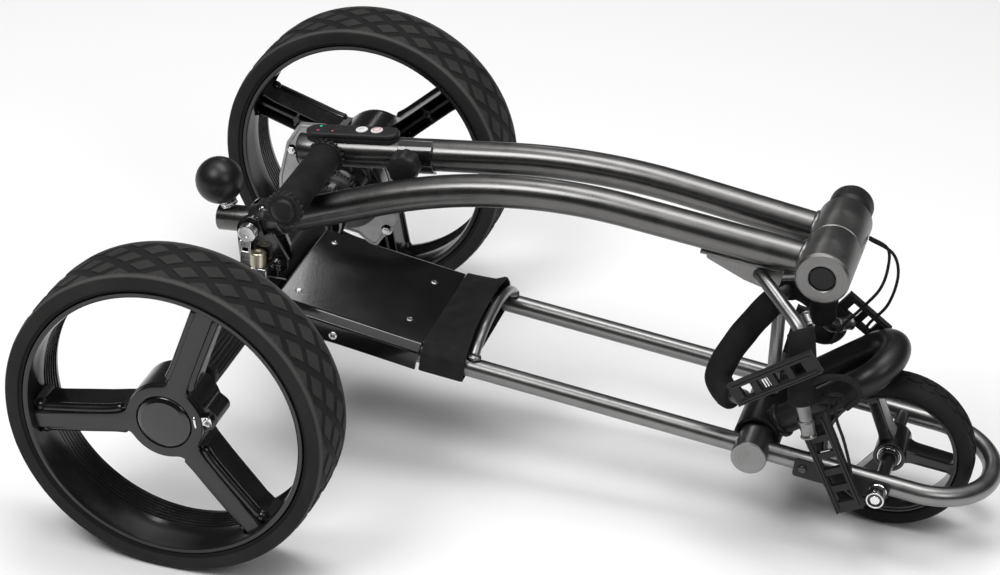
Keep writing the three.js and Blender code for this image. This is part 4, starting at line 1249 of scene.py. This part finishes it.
# ---- controller and accessory fitting ----
def controller():
    start, end, half = 7, 97, 10.5
    floor, top = 12.2, 21.7
    rings = []
    for inset, z in ((1.4, floor), (0.3, floor + 1.0), (0.3, floor + 3.8), (1.2, floor + 4.3),
                     (1.2, floor + 5.2), (0.2, floor + 5.7), (0.2, top - 1.8), (0.8, top - 0.7),
                     (2.2, top - 0.15), (4.2, top)):
        r = half - inset
        arc = [(r * math.sin(math.pi * k / 20), r * math.cos(math.pi * k / 20)) for k in range(21)]
        outline = [(start + half - x, y, z) for x, y in arc] + [(end - half + x, -y, z) for x, y in arc]
        rings.append(laid(outline, HANDLE_TOP))
    piece("controller_case", "controller_housing", "black_plastic", skin(rings), sharp=45)

    key = fillet([(0.3, top - 1.8), (5.6, top - 1.8), (5.6, top + 0.9), (4.6, top + 1.25), (0.3, top + 1.25)],
                 [0, 0.2, 0.5, 0.4, 0], 3)
    power, speed = [HANDLE_TOP @ Matrix.Translation((x, 0, 0)) for x in (61, 75.5)]
    arrow = [(x, y, top + 1.3) for x, y in ((-2.2, -1.2), (0, 1.6), (2.2, -1.2))]
    mark = swept(laid(arrow, power), 0.16, 8, 0.05)
    detail("power_key_mark", "power_button", "black_plastic", mark)
    piece("power_key", "power_button", "white_plastic", turned(key, power, 48))
    mark = ring(2.9, 3.8, top + 1.16, top + 1.4, speed, 0.06, 40)
    detail("speed_key_ring", "speed_button", "red_plastic", mark)
    piece("speed_key", "speed_button", "white_plastic", turned(key, speed, 48))

    lens = [(0.2, top - 1), (1.2, top - 1), (1.2, top + 0.15), (0.7, top + 0.4), (0.2, top + 0.45)]
    for name, x, y in (("lamp_green", 20, 4.5), ("lamp_red", 20, -4.5), ("lamp_amber", 34, -4.5)):
        shape = turned(lens, HANDLE_TOP @ Matrix.Translation((x, y, 0)), 24)
        detail(name, "controller_housing", name, shape)
    bezel = ring(2.6, 3.3, top - 0.3, top + 0.12, HANDLE_TOP @ Matrix.Translation((36, 2.5, 0)), 0.1, 40)
    detail("display_ring", "controller_housing", "gunmetal", bezel)


def accessory_fitting():
    """A saddle plate against the tube's near side, and the lobed knob that stands on it."""
    inner, outer = 15.1, 17.6
    sector = [math.radians(112 + 136 * k / 24) for k in range(25)]
    section = [(outer * math.cos(a), outer * math.sin(a)) for a in sector]
    section += [(inner * math.cos(a), inner * math.sin(a)) for a in reversed(sector)]
    rings = [laid([(x, *spot) for spot in section], HANDLE_TOP) for x in (98, 99, 130, 131)]
    clamp = skin(rings) + disc(9, 16.5, 19.0, HANDLE_TOP @ facing((110, 0, 2), (0, -1, 0)), 0.5)
    piece("fitting_clamp", "accessory_clamp", "gloss_black", clamp, bevel=0.6)
    line = [(x, 17.4 * math.cos(sector[0]), 17.4 * math.sin(sector[0])) for x in (98.6, 130.6)]
    edge = swept(laid(line, HANDLE_TOP), 0.5, 10, 0.2)
    detail("fitting_clamp_edge", "accessory_clamp", "satin_steel", edge)

    knob = place_of("accessory_knob")
    far, near = [-corner.y for corner in span_of("accessory_knob")][::-1]
    place = facing((knob.x, 0, knob.z), (0, -1, 0))
    rings = []
    for inset, height in ((4.2, far), (2.4, far + 1.6), (2.4, far + 4.5), (0.4, far + 5.5), (0, far + 7),
                          (0, near - 3), (0.8, near - 1.2), (2.6, near - 0.2), (9.5, near)):
        outline = []
        for k in range(72):
            angle = TURN * k / 72
            radius = 14.3 + 0.8 * math.cos(8 * angle) * max(0, 1 - inset / 5) - inset
            outline.append((radius * math.cos(angle), radius * math.sin(angle), height))
        rings.append(laid(outline, place))
    piece("fitting_knob", "accessory_knob", "black_plastic", skin(rings), sharp=45)


# ---- lower cradle and straps ----
def lower_cradle():
    cradle("lower", LOWER_RIGHT, LOWER_LEFT, swept([(STEM[0], 0, -37), STEM], ROD_RADIUS, 28, 1.0))
    for name, rod in (("right", LOWER_RIGHT), ("left", LOWER_LEFT)):
        piece("lower_sleeve_" + name, "lower_foam_" + name, "foam", sleeve(rod, 2 / 3, 16 / 3))


def ladder(name, start, end, width, y0, y1):
    """A moulded strap: two raised rails, rungs, and a row of windows, with a buckle at one end."""
    dx, dz = end[0] - start[0], end[1] - start[1]
    length, half = math.hypot(dx, dz), width / 2
    low, high = -y1, -y0
    lean = Matrix.Rotation(-math.atan2(dz, dx), 4, "Y")
    place = Matrix.Translation((start[0], 0, start[1])) @ lean @ UPRIGHT
    rung, window, before, after = 6.5, 10.5, 5.5, 3.6
    ys = [-half, -half + 4.6, 4.0 - half * 0.8, half * 0.8 - 4.0, half - 4.6, half]
    xs = [-before]
    x = 4.0
    while x + 13 < length:
        xs += [x, x + window]
        x += window + rung
    xs += [length + after]
    shape = cells(xs, ys, lambda i, j: i % 2 == 0 or j in (0, 4), low + 1.4, high - 1.4, place)
    for side in (-1, 1):
        edge, rail = side * half, side * (half - 2.4)
        shape += box((-before, edge - 0.9, low + 0.4), (length + after, edge + 0.9, high - 0.4), place)
        shape += box((-2, rail - 1.0, low), (length, rail + 1.0, high), place)
    piece(name.replace("strap", "ladder"), name, "black_plastic", shape, bevel=0.5)

    clip = Shape()
    middle_height = (low + high) / 2
    for k in range(3):
        x = length * 0.34 + 2.6 * k
        clip += box((x, -4.4, middle_height - 1.0), (x + 1.5, 4.4, middle_height + 1.6), place)
    detail(name.replace("strap", "buckle"), name, "chrome", clip, bevel=0.3)


def cords():
    """Elastic cords that tie the straps together, each on the part that it is knotted to."""
    def cord(points, radius=1.4, edge=0.8, sides=12):
        return swept(spline(points, 14), radius, sides, edge)

    shape = cord([(537, 20, 124), (553.5, 25, 112.7), (555.5, 25, 93), (551.6, 20, 75), (539.7, 14, 58),
                  (523.4, 4, 39), (517.6, -10, 28.6)], edge=1.0)
    shape += cord([(537, 20, 122), (558.4, 28, 107), (564.8, 28, 88), (559.3, 24, 58), (547, 20, 41),
                   (540.5, 18, 30)], edge=1.0)
    detail("upper_cords", "upper_cradle_rod", "webbing", shape)

    bow = [(512, -96, 36), (530, -92, 44), (548, -84, 40), (556, -80, 24), (546, -86, 12)]
    shape = cord(bow, 3.0, 1.5, 14)
    knot = [(534 + 9 * math.cos(a) * (1 + 0.2 * math.sin(2 * a)), -92 + 3 * math.sin(3 * a),
             22 + 8 * math.sin(a)) for a in [TURN * k / 36 for k in range(37)]]
    shape += swept(knot, 2.0, 12, 0.6)
    shape += cord([(534, -92, 26), (533, -91, 6), (541, -88, -16), (552, -86, -44), (560, -85, -74)])
    shape += cord([(538, -92, 26), (540, -90, 4), (548, -88, -18), (556, -86, -46), (561, -85, -74)])
    detail("knotted_cord", "upper_cradle_rod", "webbing", shape)


rear_wheel("right", -1)
rear_wheel("left", 1)
drive()
lower_frame()
battery_tray()
battery_strap()
bottom_rest()
front_wheel()
folding_hinge()
post()
ball_knob()
handle()
grip()
controller()
accessory_fitting()
lower_cradle()
ladder("lower_strap_right", (457, 23), (518, 66), 20, -112.5, -104.6)
ladder("lower_strap_left", (479, -6), (466, -76), 20, 91.2, 98.6)
ladder("upper_strap_right", (519, -6), (559, -86), 24, -88.6, -80.6)
ladder("upper_strap_left", (520, 36), (553, 12), 20, 49.4, 57)
cords()


# ---- floor, light and camera ----
def studio():
    floor_material = bpy.data.materials.new("floor")
    floor_material.use_nodes = True
    shader = floor_material.node_tree.nodes["Principled BSDF"]
    shader.inputs["Base Color"].default_value = (0.93, 0.93, 0.93, 1)
    shader.inputs["Roughness"].default_value = 0.9
    mesh = bpy.data.meshes.new("floor")
    ground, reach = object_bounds()[0].z - 0.0005, 14.0
    corners = ((-reach, -reach), (reach, -reach), (reach, reach), (-reach, reach))
    mesh.from_pydata([(x, y, ground) for x, y in corners], [], [(0, 1, 2, 3)])
    mesh.materials.append(floor_material)
    floor = bpy.data.objects.new("floor", mesh)
    bpy.context.scene.collection.objects.link(floor)
    floor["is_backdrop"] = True

    world = bpy.data.worlds.new("studio")
    bpy.context.scene.world = world
    world.use_nodes = True
    tree = world.node_tree
    background = tree.nodes["Background"]
    place = tree.nodes.new("ShaderNodeTexCoord")
    split = tree.nodes.new("ShaderNodeSeparateXYZ")
    ramp = tree.nodes.new("ShaderNodeValToRGB")
    tree.links.new(place.outputs["Generated"], split.inputs[0])
    height = tree.nodes.new("ShaderNodeMapRange")
    height.inputs["From Min"].default_value = -1.0
    tree.links.new(split.outputs["Z"], height.inputs["Value"])
    tree.links.new(height.outputs["Result"], ramp.inputs["Fac"])
    stops = ramp.color_ramp
    stops.elements[0].position, stops.elements[0].color = 0.5, (0.16, 0.16, 0.16, 1)
    stops.elements[1].position, stops.elements[1].color = 1.0, (1.5, 1.5, 1.5, 1)
    for position, value in ((0.6, 0.09), (0.79, 0.07), (0.88, 0.6)):
        stop = stops.elements.new(position)
        stop.color = (value, value, value, 1)
    camera_ray = tree.nodes.new("ShaderNodeLightPath")
    white = tree.nodes.new("ShaderNodeBackground")
    white.inputs["Color"].default_value = (1, 1, 1, 1)
    mix = tree.nodes.new("ShaderNodeMixShader")
    tree.links.new(ramp.outputs["Color"], background.inputs["Color"])
    background.inputs["Strength"].default_value = 0.75
    tree.links.new(camera_ray.outputs["Is Camera Ray"], mix.inputs[0])
    tree.links.new(background.outputs[0], mix.inputs[1])
    tree.links.new(white.outputs[0], mix.inputs[2])
    tree.links.new(mix.outputs[0], tree.nodes["World Output"].inputs["Surface"])

    aim = Vector((0, 0, 0.1))
    for name, spot, size, power in (("key", (-1.0, -1.5, 2.4), (1.2, 0.9), 34),
                                    ("fill", (1.9, -1.4, 1.9), (1.0, 1.0), 14),
                                    ("top", (0.1, 0.2, 2.9), (2.2, 0.9), 36),
                                    ("glint", (-0.66, 1.95, 1.5), (0.2, 0.6), 1.3)):
        light = bpy.data.lights.new(name, "AREA")
        light.shape, light.size, light.size_y = "RECTANGLE", *size
        light.energy = power
        lit = bpy.data.objects.new(name, light)
        lit.location = spot
        lit.rotation_euler = (aim - Vector(spot)).to_track_quat("-Z", "Y").to_euler()
        bpy.context.scene.collection.objects.link(lit)

    camera = bpy.data.cameras.new("camera")
    camera.sensor_width, camera.lens = 36, 100.08
    eye = bpy.data.objects.new("camera", camera)
    bpy.context.scene.collection.objects.link(eye)
    rotation = Vector((2.067, 0.323, -0.142))  # an axis, as long as its angle in radians
    turn = Matrix.Rotation(rotation.length, 3, rotation.normalized())
    right, down, forward = turn.row[0], turn.row[1], turn.row[2]
    eye.matrix_world = Matrix.Translation(AXLE + Vector((801.2, -2114.0, 1271.8)) * MM) @ Matrix(
        (right, -down, -forward)).transposed().to_4x4()
    bpy.context.scene.camera = eye
    bpy.context.scene.view_settings.view_transform = "Standard"


studio()
